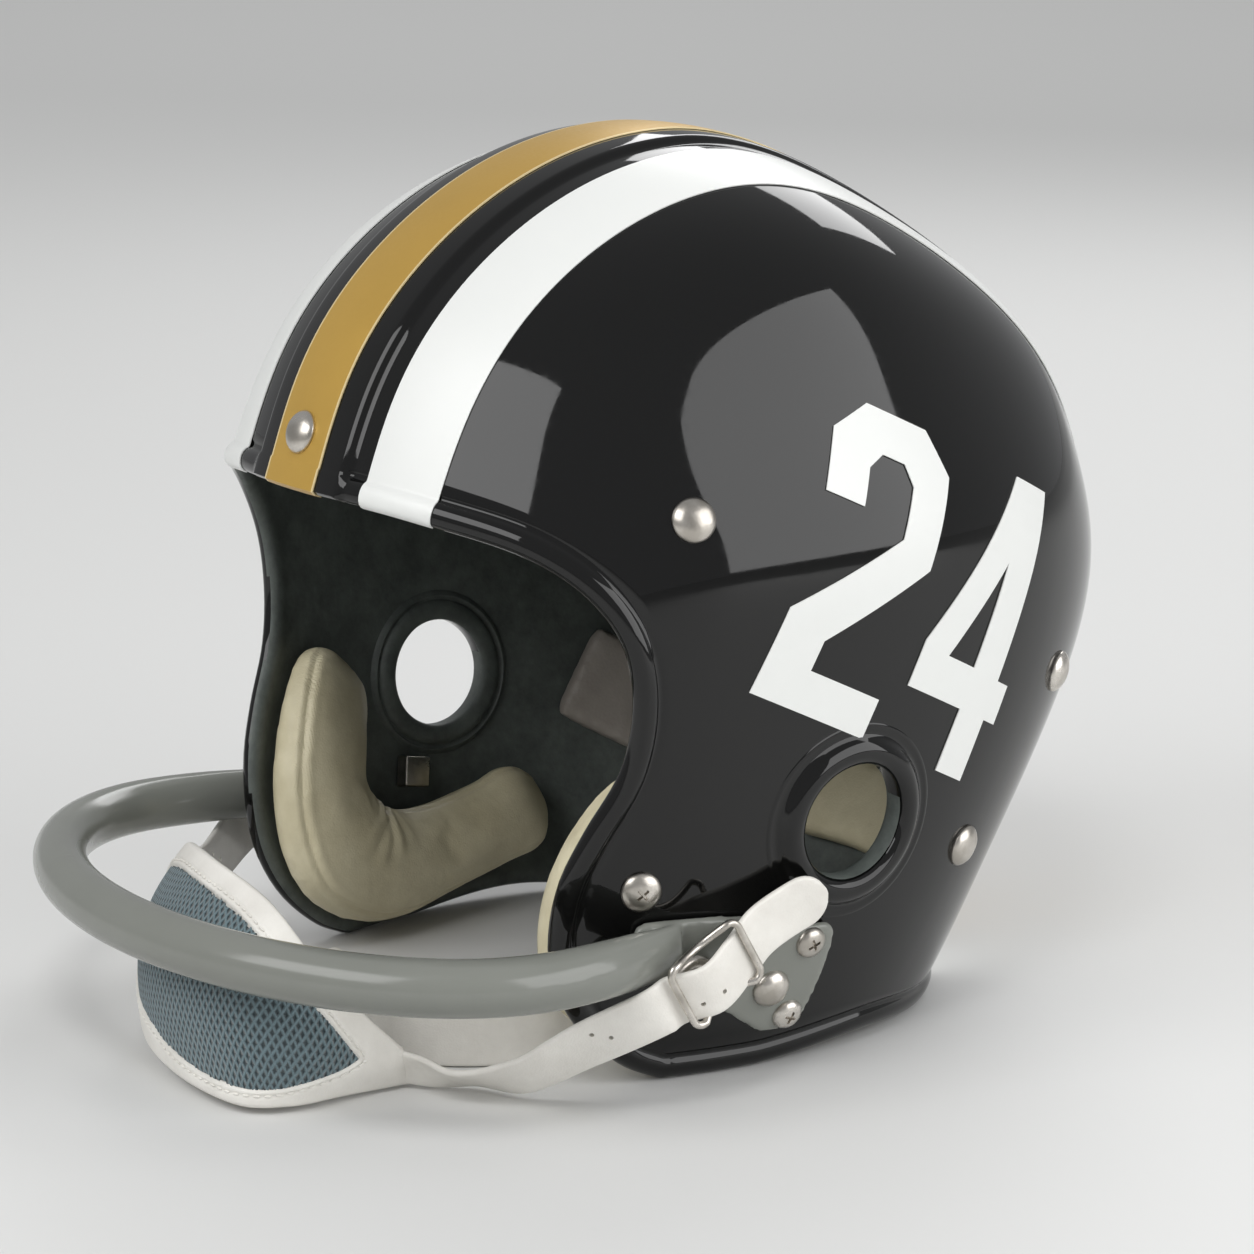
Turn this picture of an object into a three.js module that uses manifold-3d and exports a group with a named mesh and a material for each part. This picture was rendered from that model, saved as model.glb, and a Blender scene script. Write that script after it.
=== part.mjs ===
// Football helmet with a raised centre ridge, one face bar and a leather chin strap.
// Millimetres, +Z up. The helmet faces -Y, the wearer's left is +X, the floor is z = 0.
// The pieces are laid out round the ear holes and moved to the middle of the whole box at the end.

import * as THREE from 'three';
import { mergeVertices } from 'three/addons/utils/BufferGeometryUtils.js';
import Module from 'manifold-3d';

const wasm = await Module();
wasm.setup();

const CENTRING_SHIFT = 14.4;

// Driving dimensions of the shell
const CROWN_HEIGHT = 259.6;
const WALL = 3.6;
const BELOW_FLOOR = 12;
const BEYOND = 200;
const PRISM_FROM = 20;
const PRISM_TO = 140;
const RING_POINTS = 30;
const RING_ROWS = 13;
const INNER_POINTS = 24;
const INNER_ROWS = 10;

// Horizontal sections of the shell, each an egg with its own half width, reach to the front,
// reach to the back, centre and squareness
const SECTION_COLUMNS = ['z', 'halfWidth', 'front', 'back', 'centre', 'square'];
const SECTION_ROWS = [
  [0, 91, 121, 92, -6, 0.05],
  [45, 106, 130, 113, -2, 0.065],
  [90, 111.5, 135.5, 139, 3, 0.066],
  [130, 114.7, 133, 150, 3.9, 0.07],
  [165, 112, 118.5, 143.7, 2, 0.066],
  [205, 95, 99, 121.8, -0.4, 0.042],
  [235, 76.5, 71.7, 74.3, 1.6, 0],
];

// Rim of the shell seen from the side: brow, face opening, jaw flap, bottom and nape
const BROW_FRONT = [-135, 167];
const OPENING_POINTS = [
  [-117, 166], [-106, 163], [-91, 156.5], [-79, 145.5], [-71, 131], [-68.5, 114],
  [-71, 96], [-79, 79], [-84.5, 64], [-86, 48], [-83.5, 33], [-75, 18], [-62, 6],
];
const FLAT_FRONT = [-50, 0];
const FLAT_BACK = [-20, 0];
const ARCH_TOP = [18, 3];
const NAPE_FRONT = [50, 0];
const OPENING_STEPS = 42;
const ARCH_STEPS = 8;
const BEAD_RADIUS = 3.1;
const BEAD_DEPTH = -0.7;
const BEAD_SIDES = 5;
const BEAD_STATIONS = 56;

const RIDGE_HALF_WIDTH = 22.5;
const RIDGE_HEIGHT = 2;
const RIDGE_FOOT = 40;
const TAPE_GAP = 0.3;
const TAPE_THICKNESS = 0.5;
const TAPE_WIDTH = 25.4;
const SIDE_TAPE_START = 27.5;
const TAPE_FOOT = 42;

const EAR_CENTRE = [0, 74];
const EAR_RADIUS = 17.5;
// Collar of the ear hole as radius and height over the shell
const EAR_COLLAR = [[16, -8], [24, -8], [26, -4], [25, 0.6], [22, 2.4], [19, 1.4], [16, -1]];
const EAR_SIDES = 16;
const EAR_BORE_LENGTH = 60;

// Clearances between touching pieces: everywhere, under the bar's plates and behind the wall
const GAP = 0.3;
const PLATE_GAP = 0.4;
const INNER_GAP = 0.6;

// Rivets and screws on one side, as y and z on the shell
const RIVET_RADIUS = 6.3;
const RIVET_HEIGHT = 2.6;
const SHANK_RADIUS = 2;
const HOLE_RADIUS = 2.4;
const SHANK_DEPTH = 3.3;
const JAW_SHANK_DEPTH = 9;
const SCREW_RADIUS = 4.7;
const JAW_SCREW_RADIUS = 5.7;
const SCREW_HEIGHT = 2;
const HEAD_SIDES = 8;
const HOLE_SIDES = 6;
const HOLE_REACH = 12;
const HEAD_EDGE = 0.7;
const RIVET_PLACES = {
  side_rivet: [-51, 166],
  rear_rivet: [95, 100],
  nape_rivet: [50, 56],
};
const JAW_SCREW = [-64, 61];
const PLATE_SCREWS = { upper: [-13.4, 41], lower: [-16.6, 19] };
const PLATE_DOME = [-24, 28.5];
const BROW_RIVET_HEIGHT = 181;

// Face bar: a half ellipse in front, flattened ends and a plate on each side
const BAR_RADIUS = 8.2;
const BAR_HALF_WIDTH = 110;
const BAR_TURN_Y = -102;
const BAR_REACH = 72;
const BAR_HEIGHT = 46;
const BAR_RISE = 2;
const BAR_SPANS = 14;
const BAR_SIDES = 12;
const BAR_END_COLUMNS = ['x', 'y', 'z', 'thick', 'tall'];
const BAR_END_ROWS = [
  [108.8, -86, 45.6, 7.4, 8.2],
  [105.5, -70, 45, 5.4, 8],
  [102.8, -56, 44.4, 2.6, 7.6],
];
const PLATE_THICKNESS = 3.4;
const PLATE_OUTLINE = [
  [-66, 47], [-62, 52.5], [-34, 51.5], [-15, 46.5], [-5, 43], [-9, 21], [-14, 14.5],
  [-24, 14], [-36, 22], [-60, 35], [-66, 40],
];

// Digits on each side: block figures in a frame that leans back
const DIGIT_PITCH = 50.5;
const DIGIT_WIDTH = 44;
const DIGIT_LEAN = 26 * Math.PI / 180;
const DIGIT_ORIGIN = { left: [-37, 117], right: [-29, 123] };
const DIGIT_TWO = {
  outline: [
    [0, 0], [42, 0], [42, 12], [15, 12], [15, 21], [42, 51], [42, 78], [32, 88], [10, 88],
    [0, 78], [0, 60], [13, 60], [13, 71], [17, 76], [25, 76], [29, 71], [29, 56], [0, 26],
  ],
};
const DIGIT_FOUR = {
  outline: [
    [0, 19], [25, 19], [25, 0], [38, 0], [38, 19], [44, 19], [44, 31], [38, 31], [38, 88],
    [22, 88], [0, 33],
  ],
  hole: [[24.5, 63.5], [24.5, 31.5], [11.5, 31.5]],
};

// Jaw pad: a bent cushion inside each flap, as y, z, half width and depth along its spine
const PAD_COLUMNS = ['y', 'z', 'halfWidth', 'depth'];
const PAD_ROWS = [
  [-52, 91, 5, 7],
  [-56, 85, 16, 15],
  [-65, 68, 20, 20],
  [-69, 48, 21.5, 21],
  [-63, 30, 23, 23],
  [-44, 18.5, 21, 24],
  [-18, 17.5, 18, 23],
  [8, 21.5, 16.5, 22],
  [23, 25.5, 15.5, 18],
  [31, 28, 6, 8],
];
const PAD_STATIONS = 17;
const PAD_SIDES = 10;
const PAD_CLEARANCE = 2.6;
const PAD_ROUNDNESS = 0.7;

// Rectangular pieces on the inner wall, with half length, half height and tilt
const REAR_PAD = { y: 62, z: 62, length: 15, height: 17, tilt: -0.55, depth: 9 };
const SQUARE_NUT = { y: -14.5, z: 43.5, length: 5, height: 5, tilt: -0.2, depth: 5 };

// Pad across the inside of the nape
const NAPE_PAD = { halfWidth: 30, from: 20, to: 46, depth: 13 };

// Chin cup between an upper and a lower edge, from its near end to its far end
const CUP_COLUMNS = ['upperX', 'upperY', 'upperZ', 'lowerX', 'lowerY', 'lowerZ'];
const CUP_ROWS = [
  [48, -114, 14, 47, -112, 2],
  [47, -126, 24, 47, -131, 2],
  [41, -137, 40, 47, -150, 2],
  [26, -142, 55, 38, -162, 2],
  [0, -143.5, 61, 5, -162, 2],
  [-25, -137, 59, -26, -154, 5],
  [-39, -130, 53, -44, -141, 20],
  [-48, -126, 49, -51, -127.5, 36],
];
const CUP_BULGE = 10;
const CUP_THICKNESS = 2.6;
const CUP_STATIONS = 13;
const CUP_ACROSS = 6;
// Bare leather left round the fabric: share of the cup's width and of its length
const CUP_BAND = 0.15;
const CUP_END = 0.125;
const FABRIC_THICKNESS = 1;
const FABRIC_LIFT = 0.8;

// Chin strap: centre line and the direction across it, from the cup to the tab's round end
const STRAP_WIDTH = 16;
const STRAP_THICKNESS = 2;
const STRAP_COLUMNS = ['x', 'y', 'z', 'acrossX', 'acrossY', 'acrossZ'];
const NEAR_STRAP_ROWS = [
  [48.5, -112.5, 8.6, 0.1, 0, 1],
  [67, -104.5, 7.1, 0.75, -0.45, 0.5],
  [82, -95.5, 9.2, 0.55, -0.3, 0.75],
  [97.5, -84, 20.5, 0.3, -0.3, 0.9],
];
const FAR_STRAP_ROWS = [
  [-52, -124.5, 42, 0, 0.1, 1],
  [-66, -117, 36.5, 0, 0.1, 1],
  [-84, -105, 29.5, 0, 0.15, 1],
  [-99, -90, 26, -0.1, -0.1, 1],
];
// Strap over the bar's end and plate, under the buckle's ends and over its middle, on both
// sides: distance from the mid-plane, y and z
const STRAP_OVER_PLATE = [
  [112.2, -72, 31], [113, -63, 35.8], [117, -53, 40.5], [114.4, -43, 45.4], [112.6, -34, 49],
  [113.2, -24, 53.4], [115.8, -14, 57.6],
];
const PLATE_STRAP_ACROSS = [0, -0.49, 0.87];
const STRAP_STATIONS = 28;
const TAB_END = 0.45;
const BUCKLE_WIRE = 1.2;
const BUCKLE_CENTRE = [116.6, -53.2, 40.4];
const BUCKLE_LENGTH = 25;
const BUCKLE_WIDTH = 20.5;
const BUCKLE_CORNER = 3;
const SNAP_CENTRE = [106.4, -53, 34];
// Snap from its post to its domed cap, as radius and height
const SNAP_PROFILE = [[0, -1.9], [4, -1.9], [4, 0], [9, 0], [7.8, 1.6], [0, 2.4]];
const SNAP_SIDES = 12;

// Inner leather band on its edge inside the helmet: x and y from the far pad round to the far wall
const BAND_WIDTH = 18;
const BAND_THICKNESS = 2.4;
const BAND_POINTS = [
  [-61, -64], [-46, -80], [-18, -91], [14, -99], [36, -97], [50, -79], [56, -52],
  [60.5, -10], [63.5, 30], [46, 60], [0, 77], [-42, 66], [-66, 50], [-74, 40],
];
const BAND_STATIONS = 28;

// Colours and finishes
const MATERIALS = {
  gloss_black: { color: 0x08080a, roughness: 0.12, metalness: 0 },
  gold_tape: { color: 0xb08a3c, roughness: 0.35, metalness: 0.2 },
  white_tape: { color: 0xf0f0ee, roughness: 0.4, metalness: 0 },
  grey_plastic: { color: 0x80847f, roughness: 0.3, metalness: 0 },
  nickel: { color: 0xd2c8be, roughness: 0.3, metalness: 0.9 },
  khaki_leather: { color: 0xa89a74, roughness: 0.55, metalness: 0 },
  white_leather: { color: 0xf1ede6, roughness: 0.6, metalness: 0 },
  blue_mesh: { color: 0x6f878c, roughness: 0.8, metalness: 0 },
  taupe_leather: { color: 0x7b7064, roughness: 0.8, metalness: 0 },
};

function material(name) {
  return new THREE.MeshStandardMaterial(MATERIALS[name]);
}

// Natural cubic spline through the given values
function naturalSpline(places, values) {
  const count = places.length;
  const second = new Array(count).fill(0);
  const work = new Array(count).fill(0);
  for (let i = 1; i < count - 1; i += 1) {
    const share = (places[i] - places[i - 1]) / (places[i + 1] - places[i - 1]);
    const pivot = share * second[i - 1] + 2;
    const rise = (values[i + 1] - values[i]) / (places[i + 1] - places[i]);
    const run = (values[i] - values[i - 1]) / (places[i] - places[i - 1]);
    second[i] = (share - 1) / pivot;
    work[i] = (6 * (rise - run) / (places[i + 1] - places[i - 1]) - share * work[i - 1]) / pivot;
  }
  for (let i = count - 2; i >= 0; i -= 1) {
    second[i] = second[i] * second[i + 1] + work[i];
  }
  return (place) => {
    let i = 0;
    while (i < count - 2 && place > places[i + 1]) {
      i += 1;
    }
    const step = places[i + 1] - places[i];
    const a = (places[i + 1] - place) / step;
    const b = 1 - a;
    const bend = (a ** 3 - a) * second[i] + (b ** 3 - b) * second[i + 1];
    return a * values[i] + b * values[i + 1] + bend * step * step / 6;
  };
}

// Each width falls to nothing at the crown as the root of the height left
function crownColumn(column) {
  const places = SECTION_ROWS.map((row) => row[0]);
  const values = SECTION_ROWS.map((row) => row[column] ** 2 / (CROWN_HEIGHT - row[0]));
  const curve = naturalSpline(places, values);
  return (z) => Math.sqrt(Math.max(curve(z) * (CROWN_HEIGHT - z), 0));
}

function plainColumn(column) {
  return naturalSpline(SECTION_ROWS.map((row) => row[0]), SECTION_ROWS.map((row) => row[column]));
}

const halfWidth = crownColumn(SECTION_COLUMNS.indexOf('halfWidth'));
const frontReach = crownColumn(SECTION_COLUMNS.indexOf('front'));
const backReach = crownColumn(SECTION_COLUMNS.indexOf('back'));
const sectionCentre = plainColumn(SECTION_COLUMNS.indexOf('centre'));
const squareness = plainColumn(SECTION_COLUMNS.indexOf('square'));

// Point on the outer surface at a height and an angle, 0 being the wearer's left
function shellPoint(angle, z) {
  const mean = (backReach(z) + frontReach(z)) / 2;
  const skew = (backReach(z) - frontReach(z)) / 2;
  const s = Math.sin(angle);
  const x = halfWidth(z) * Math.cos(angle) * (1 + squareness(z) * s * s);
  return new THREE.Vector3(x, sectionCentre(z) + mean * s + skew * s * s, z);
}

// Half width of the outer surface at a place in the side view
function halfWidthAt(y, z) {
  const mean = (backReach(z) + frontReach(z)) / 2;
  const skew = (backReach(z) - frontReach(z)) / 2;
  const along = y - sectionCentre(z);
  const root = Math.sqrt(Math.max(mean * mean + 4 * skew * along, 0));
  const s = Math.abs(skew) < 1e-6 ? along / mean : (root - mean) / (2 * skew);
  if (Math.abs(s) >= 1) {
    return 0;
  }
  return halfWidth(z) * Math.sqrt(1 - s * s) * (1 + squareness(z) * s * s);
}

// Outward normal from the slopes of the half width in the side view
function normalAt(side, y, z) {
  const step = 0.5;
  const slopeY = (halfWidthAt(y + step, z) - halfWidthAt(y - step, z)) / (2 * step);
  const slopeZ = (halfWidthAt(y, z + step) - halfWidthAt(y, z - step)) / (2 * step);
  return new THREE.Vector3(side, -slopeY, -slopeZ).normalize();
}

function pointOn(side, y, z, lift) {
  const base = new THREE.Vector3(side * halfWidthAt(y, z), y, z);
  return base.addScaledVector(normalAt(side, y, z), lift);
}

// Closed solid through rings of equal length, joined end to end or capped at both ends
function ringGeometry(rings, closed) {
  const sides = rings[0].length;
  const positions = [];
  const index = [];
  rings.flat().forEach((point) => positions.push(point.x, point.y, point.z));
  const spans = closed ? rings.length : rings.length - 1;
  for (let i = 0; i < spans; i += 1) {
    const here = i * sides;
    const next = ((i + 1) % rings.length) * sides;
    for (let j = 0; j < sides; j += 1) {
      const k = (j + 1) % sides;
      index.push(here + j, here + k, next + k);
      index.push(here + j, next + k, next + j);
    }
  }
  if (!closed) {
    const last = rings.length - 1;
    [[rings[0], 0, true], [rings[last], last * sides, false]].forEach(([ring, start, flip]) => {
      const middle = new THREE.Vector3();
      ring.forEach((point) => middle.addScaledVector(point, 1 / sides));
      const centre = positions.length / 3;
      positions.push(middle.x, middle.y, middle.z);
      for (let j = 0; j < sides; j += 1) {
        const k = (j + 1) % sides;
        index.push(centre, start + (flip ? k : j), start + (flip ? j : k));
      }
    });
  }
  const geometry = new THREE.BufferGeometry();
  geometry.setAttribute('position', new THREE.Float32BufferAttribute(positions, 3));
  geometry.setIndex(index);
  return geometry;
}

function toManifold(geometry) {
  const plain = geometry.clone();
  plain.deleteAttribute('normal');
  plain.deleteAttribute('uv');
  const merged = mergeVertices(plain, 1e-4);
  return new wasm.Manifold(new wasm.Mesh({
    numProp: 3,
    vertProperties: new Float32Array(merged.attributes.position.array),
    triVerts: new Uint32Array(merged.index.array),
  }));
}

function fromManifold(solid) {
  const mesh = solid.getMesh();
  const geometry = new THREE.BufferGeometry();
  const positions = new Float32Array(mesh.vertProperties);
  geometry.setAttribute('position', new THREE.BufferAttribute(positions, 3));
  geometry.setIndex(new THREE.BufferAttribute(new Uint32Array(mesh.triVerts), 1));
  return geometry;
}

function manifoldFacingOut(geometry) {
  const solid = toManifold(geometry);
  if (solid.volume() >= 0) {
    return solid;
  }
  const flipped = geometry.clone();
  const index = flipped.index.array;
  for (let i = 0; i < index.length; i += 3) {
    [index[i + 1], index[i + 2]] = [index[i + 2], index[i + 1]];
  }
  return toManifold(flipped);
}

// Solid inside the shell's surface moved out along its normals by the lift
function layer(lift, points, rows) {
  const rings = [];
  const rise = CROWN_HEIGHT + BELOW_FLOOR;
  for (let i = 0; i < rows; i += 1) {
    const z = -BELOW_FLOOR + rise * Math.sin(i / rows * Math.PI / 2);
    const ring = [];
    for (let j = 0; j < points; j += 1) {
      const angle = j / points * 2 * Math.PI;
      const base = shellPoint(angle, z);
      const along = shellPoint(angle + 1e-3, z).sub(shellPoint(angle - 1e-3, z));
      const up = shellPoint(angle, z + 0.02).sub(shellPoint(angle, z - 0.02));
      ring.push(base.addScaledVector(along.cross(up).normalize(), lift));
    }
    rings.push(ring);
  }
  const top = new THREE.Vector3(0, sectionCentre(CROWN_HEIGHT), CROWN_HEIGHT + lift);
  rings.push(new Array(points).fill(top));
  return manifoldFacingOut(ringGeometry(rings, false));
}

function outerLayer(lift) {
  return layer(lift, RING_POINTS, RING_ROWS);
}

// Prism along x over an outline in the side view
function sidePrism(points, fromX, toX, hole) {
  const shape = new THREE.Shape(points.map(([y, z]) => new THREE.Vector2(y, z)));
  if (hole) {
    shape.holes.push(new THREE.Path(hole.map(([y, z]) => new THREE.Vector2(y, z))));
  }
  const geometry = new THREE.ExtrudeGeometry(shape, { depth: toX - fromX, bevelEnabled: false });
  geometry.applyMatrix4(new THREE.Matrix4().makeBasis(
    new THREE.Vector3(0, 1, 0),
    new THREE.Vector3(0, 0, 1),
    new THREE.Vector3(1, 0, 0),
  ));
  geometry.translate(fromX, 0, 0);
  return manifoldFacingOut(geometry);
}

// The same on one side of the mid-plane only
function wallPrism(side, points, hole) {
  const fromX = side > 0 ? PRISM_FROM : -PRISM_TO;
  return sidePrism(points, fromX, fromX + PRISM_TO - PRISM_FROM, hole);
}

// Upright slab between two x values, from a height to above the crown
function slab(fromX, toX, fromZ) {
  const height = BEYOND + CROWN_HEIGHT - fromZ;
  const geometry = new THREE.BoxGeometry(toX - fromX, 2 * BEYOND, height);
  geometry.translate((fromX + toX) / 2, 0, fromZ + height / 2);
  return manifoldFacingOut(geometry);
}

// The rim in the side view, from the brow over the flap and the arch to the nape
function rimOutline() {
  const curveThrough = (points) => new THREE.SplineCurve(points.map(([y, z]) => new THREE.Vector2(y, z)));
  const opening = curveThrough([BROW_FRONT, ...OPENING_POINTS, FLAT_FRONT]).getPoints(OPENING_STEPS);
  const arch = curveThrough([FLAT_BACK, ARCH_TOP, NAPE_FRONT]).getPoints(ARCH_STEPS);
  return [...opening, ...arch, new THREE.Vector2(BEYOND, 0)];
}

function helmetOutlinePrism() {
  const outline = rimOutline().map((point) => [point.x, point.y]);
  const top = CROWN_HEIGHT + BEYOND;
  outline.push([BEYOND, top], [-BEYOND, top], [-BEYOND, BROW_FRONT[1]]);
  return sidePrism(outline, -BEYOND, BEYOND);
}

// The rim as an even closed loop of points on the shell, each with its normal
function rimLoop() {
  const outline = rimOutline();
  const dense = [];
  outline.slice(0, -1).forEach((point, i) => {
    const next = outline[i + 1];
    const cuts = Math.ceil(point.distanceTo(next) / 0.4);
    for (let j = 0; j < cuts; j += 1) {
      const place = point.clone().lerp(next, j / cuts);
      const x = halfWidthAt(place.x, place.y);
      if (x > 0) {
        dense.push(new THREE.Vector3(x, place.x, place.y));
      }
    }
  });
  const mirrored = dense.slice().reverse().map((point) => new THREE.Vector3(-point.x, point.y, point.z));
  const curve = new THREE.CatmullRomCurve3([...dense, ...mirrored], true);
  curve.arcLengthDivisions = 4000;
  return curve.getSpacedPoints(BEAD_STATIONS).slice(0, -1);
}

function surfaceNormal(point) {
  const side = point.x < 0 ? -1 : 1;
  if (Math.abs(point.x) > 25) {
    return normalAt(side, point.y, point.z);
  }
  const angle = Math.atan2(point.y - sectionCentre(point.z), point.x);
  const near = shellPoint(angle, point.z);
  const along = shellPoint(angle + 1e-3, point.z).sub(shellPoint(angle - 1e-3, point.z));
  const up = shellPoint(angle, point.z + 0.5).sub(near);
  return along.cross(up).normalize();
}

// Round bar along a closed loop lying on the shell
function beadSolid(radius) {
  const loop = rimLoop();
  const rings = loop.map((point, i) => {
    const before = loop[(i + loop.length - 1) % loop.length];
    const after = loop[(i + 1) % loop.length];
    const along = after.clone().sub(before).normalize();
    const out = surfaceNormal(point);
    const across = new THREE.Vector3().crossVectors(along, out).normalize();
    const centre = point.clone().addScaledVector(out, BEAD_DEPTH);
    return Array.from({ length: BEAD_SIDES }, (_, j) => {
      const turn = (j / BEAD_SIDES) * 2 * Math.PI;
      return centre.clone()
        .addScaledVector(out, radius * Math.cos(turn))
        .addScaledVector(across, radius * Math.sin(turn));
    });
  });
  return manifoldFacingOut(ringGeometry(rings, true));
}

// Turned part whose axis stands on the shell: profile as radius and height
function turnedOn(side, place, profile, sides, lift) {
  const geometry = new THREE.LatheGeometry(profile.map(([r, h]) => new THREE.Vector2(r, h)), sides);
  const normal = place[0] === 'brow' ? surfaceNormal(browPoint()) : normalAt(side, place[0], place[1]);
  const base = place[0] === 'brow' ? browPoint() : pointOn(side, place[0], place[1], 0);
  geometry.applyQuaternion(new THREE.Quaternion().setFromUnitVectors(new THREE.Vector3(0, 1, 0), normal));
  const origin = base.addScaledVector(normal, lift);
  geometry.translate(origin.x, origin.y, origin.z);
  return manifoldFacingOut(geometry);
}

function browPoint() {
  return shellPoint(-Math.PI / 2, BROW_RIVET_HEIGHT);
}

function holeOn(side, place, radius = HOLE_RADIUS) {
  const profile = [[0, -HOLE_REACH], [radius, -HOLE_REACH], [radius, HOLE_REACH], [0, HOLE_REACH]];
  return turnedOn(side, place, profile, HOLE_SIDES, 0);
}

function earCollar(side) {
  const profile = [...EAR_COLLAR, EAR_COLLAR[0]].map(([r, h]) => new THREE.Vector2(r, h));
  const geometry = new THREE.LatheGeometry(profile, EAR_SIDES);
  geometry.applyQuaternion(new THREE.Quaternion().setFromUnitVectors(
    new THREE.Vector3(0, 1, 0),
    new THREE.Vector3(side, 0, 0),
  ));
  geometry.translate(side * halfWidthAt(...EAR_CENTRE), EAR_CENTRE[0], EAR_CENTRE[1]);
  return manifoldFacingOut(geometry);
}

function earBore(side) {
  const geometry = new THREE.CylinderGeometry(EAR_RADIUS, EAR_RADIUS, EAR_BORE_LENGTH, EAR_SIDES);
  geometry.rotateZ(Math.PI / 2);
  geometry.translate(side * halfWidthAt(...EAR_CENTRE), EAR_CENTRE[0], EAR_CENTRE[1]);
  return manifoldFacingOut(geometry);
}

const SIDES = { left: 1, right: -1 };
const outer = outerLayer(0);
const inner = layer(-WALL, INNER_POINTS, INNER_ROWS);
const outlinePrism = helmetOutlinePrism();

function shellSolid() {
  const ridge = outerLayer(RIDGE_HEIGHT).intersect(slab(-RIDGE_HALF_WIDTH, RIDGE_HALF_WIDTH, RIDGE_FOOT));
  const aboveFloor = slab(-BEYOND, BEYOND, 0);
  let body = outer.add(ridge).subtract(inner).intersect(outlinePrism);
  body = body.add(beadSolid(BEAD_RADIUS)).intersect(aboveFloor);
  Object.values(SIDES).forEach((side) => {
    body = body.add(earCollar(side)).subtract(earBore(side));
    const plate = [...Object.values(PLATE_SCREWS), PLATE_DOME];
    [...Object.values(RIVET_PLACES), JAW_SCREW, ...plate].forEach((place) => {
      body = body.subtract(holeOn(side, place));
    });
  });
  return body.subtract(holeOn(1, ['brow']));
}

// Thin layer over the shell between two lifts
function skin(fromLift, toLift) {
  return outerLayer(toLift).subtract(outerLayer(fromLift));
}

const rimKeepOut = beadSolid(BEAD_RADIUS + GAP);

function centerStripe() {
  const lift = RIDGE_HEIGHT + TAPE_GAP;
  return skin(lift, lift + TAPE_THICKNESS)
    .intersect(slab(-TAPE_WIDTH / 2, TAPE_WIDTH / 2, TAPE_FOOT))
    .intersect(outlinePrism)
    .subtract(rimKeepOut)
    .subtract(holeOn(1, ['brow']));
}

function sideStripe(side) {
  const near = side * SIDE_TAPE_START;
  const far = side * (SIDE_TAPE_START + TAPE_WIDTH);
  return skin(TAPE_GAP, TAPE_GAP + TAPE_THICKNESS)
    .intersect(slab(Math.min(near, far), Math.max(near, far), TAPE_FOOT))
    .intersect(outlinePrism)
    .subtract(rimKeepOut);
}

// Digits read from front to back on the left side and from back to front on the right
function digit(side, figure, column) {
  const total = DIGIT_PITCH + DIGIT_WIDTH;
  const origin = side > 0 ? DIGIT_ORIGIN.left : DIGIT_ORIGIN.right;
  const place = ([u, v]) => {
    const along = u + column * DIGIT_PITCH;
    const run = side > 0 ? along : total - along;
    const y = origin[0] + run * Math.cos(DIGIT_LEAN) + v * Math.sin(DIGIT_LEAN);
    const z = origin[1] - run * Math.sin(DIGIT_LEAN) + v * Math.cos(DIGIT_LEAN);
    return [y, z];
  };
  const hole = figure.hole ? figure.hole.map(place) : undefined;
  const prism = wallPrism(side, figure.outline.map(place), hole);
  return skin(TAPE_GAP, TAPE_GAP + TAPE_THICKNESS).intersect(prism);
}

function rivetSolid(side, place, lift) {
  const profile = [
    [0, -SHANK_DEPTH - lift], [SHANK_RADIUS, -SHANK_DEPTH - lift], [SHANK_RADIUS, 0], [RIVET_RADIUS, 0],
    [RIVET_RADIUS * HEAD_EDGE, RIVET_HEIGHT * HEAD_EDGE], [0, RIVET_HEIGHT],
  ];
  return turnedOn(side, place, profile, HEAD_SIDES, lift);
}

function screwSolid(side, place, lift, depth, radius) {
  const profile = [
    [0, -depth - lift], [SHANK_RADIUS, -depth - lift], [SHANK_RADIUS, 0], [radius, 0],
    [radius * HEAD_EDGE, SCREW_HEIGHT], [0, SCREW_HEIGHT],
  ];
  return turnedOn(side, place, profile, HEAD_SIDES, lift);
}

// Named values of each row of a table
function rowsOf(columns, rows) {
  return rows.map((row) => Object.fromEntries(columns.map((name, i) => [name, row[i]])));
}

// Rings of the face bar from one flattened end round the front to the other
function barRings() {
  const stations = [];
  for (let i = 0; i <= BAR_SPANS; i += 1) {
    const turn = (i / BAR_SPANS) * Math.PI;
    stations.push({
      x: BAR_HALF_WIDTH * Math.cos(turn),
      y: BAR_TURN_Y - BAR_REACH * Math.sin(turn),
      z: BAR_HEIGHT + BAR_RISE * Math.sin(turn),
      thick: BAR_RADIUS,
      tall: BAR_RADIUS,
    });
  }
  const ends = rowsOf(BAR_END_COLUMNS, BAR_END_ROWS);
  const all = [...ends.slice().reverse(), ...stations, ...ends.map((end) => ({ ...end, x: -end.x }))];
  return all.map((station, i) => {
    const before = all[Math.max(i - 1, 0)];
    const after = all[Math.min(i + 1, all.length - 1)];
    const along = new THREE.Vector3(after.x - before.x, after.y - before.y, 0).normalize();
    const across = new THREE.Vector3(-along.y, along.x, 0);
    return Array.from({ length: BAR_SIDES }, (_, j) => {
      const turn = (j / BAR_SIDES) * 2 * Math.PI;
      return new THREE.Vector3(station.x, station.y, station.z)
        .addScaledVector(across, station.thick * Math.cos(turn))
        .add(new THREE.Vector3(0, 0, station.tall * Math.sin(turn)));
    });
  });
}

function faceBar() {
  let body = manifoldFacingOut(ringGeometry(barRings(), false)).subtract(outerLayer(PLATE_GAP));
  const plateSkin = skin(PLATE_GAP, PLATE_GAP + PLATE_THICKNESS);
  Object.values(SIDES).forEach((side) => {
    body = body.add(plateSkin.intersect(wallPrism(side, PLATE_OUTLINE)));
    [...Object.values(PLATE_SCREWS), PLATE_DOME].forEach((place) => {
      body = body.subtract(holeOn(side, place));
    });
  });
  return largestBody(body);
}

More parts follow.
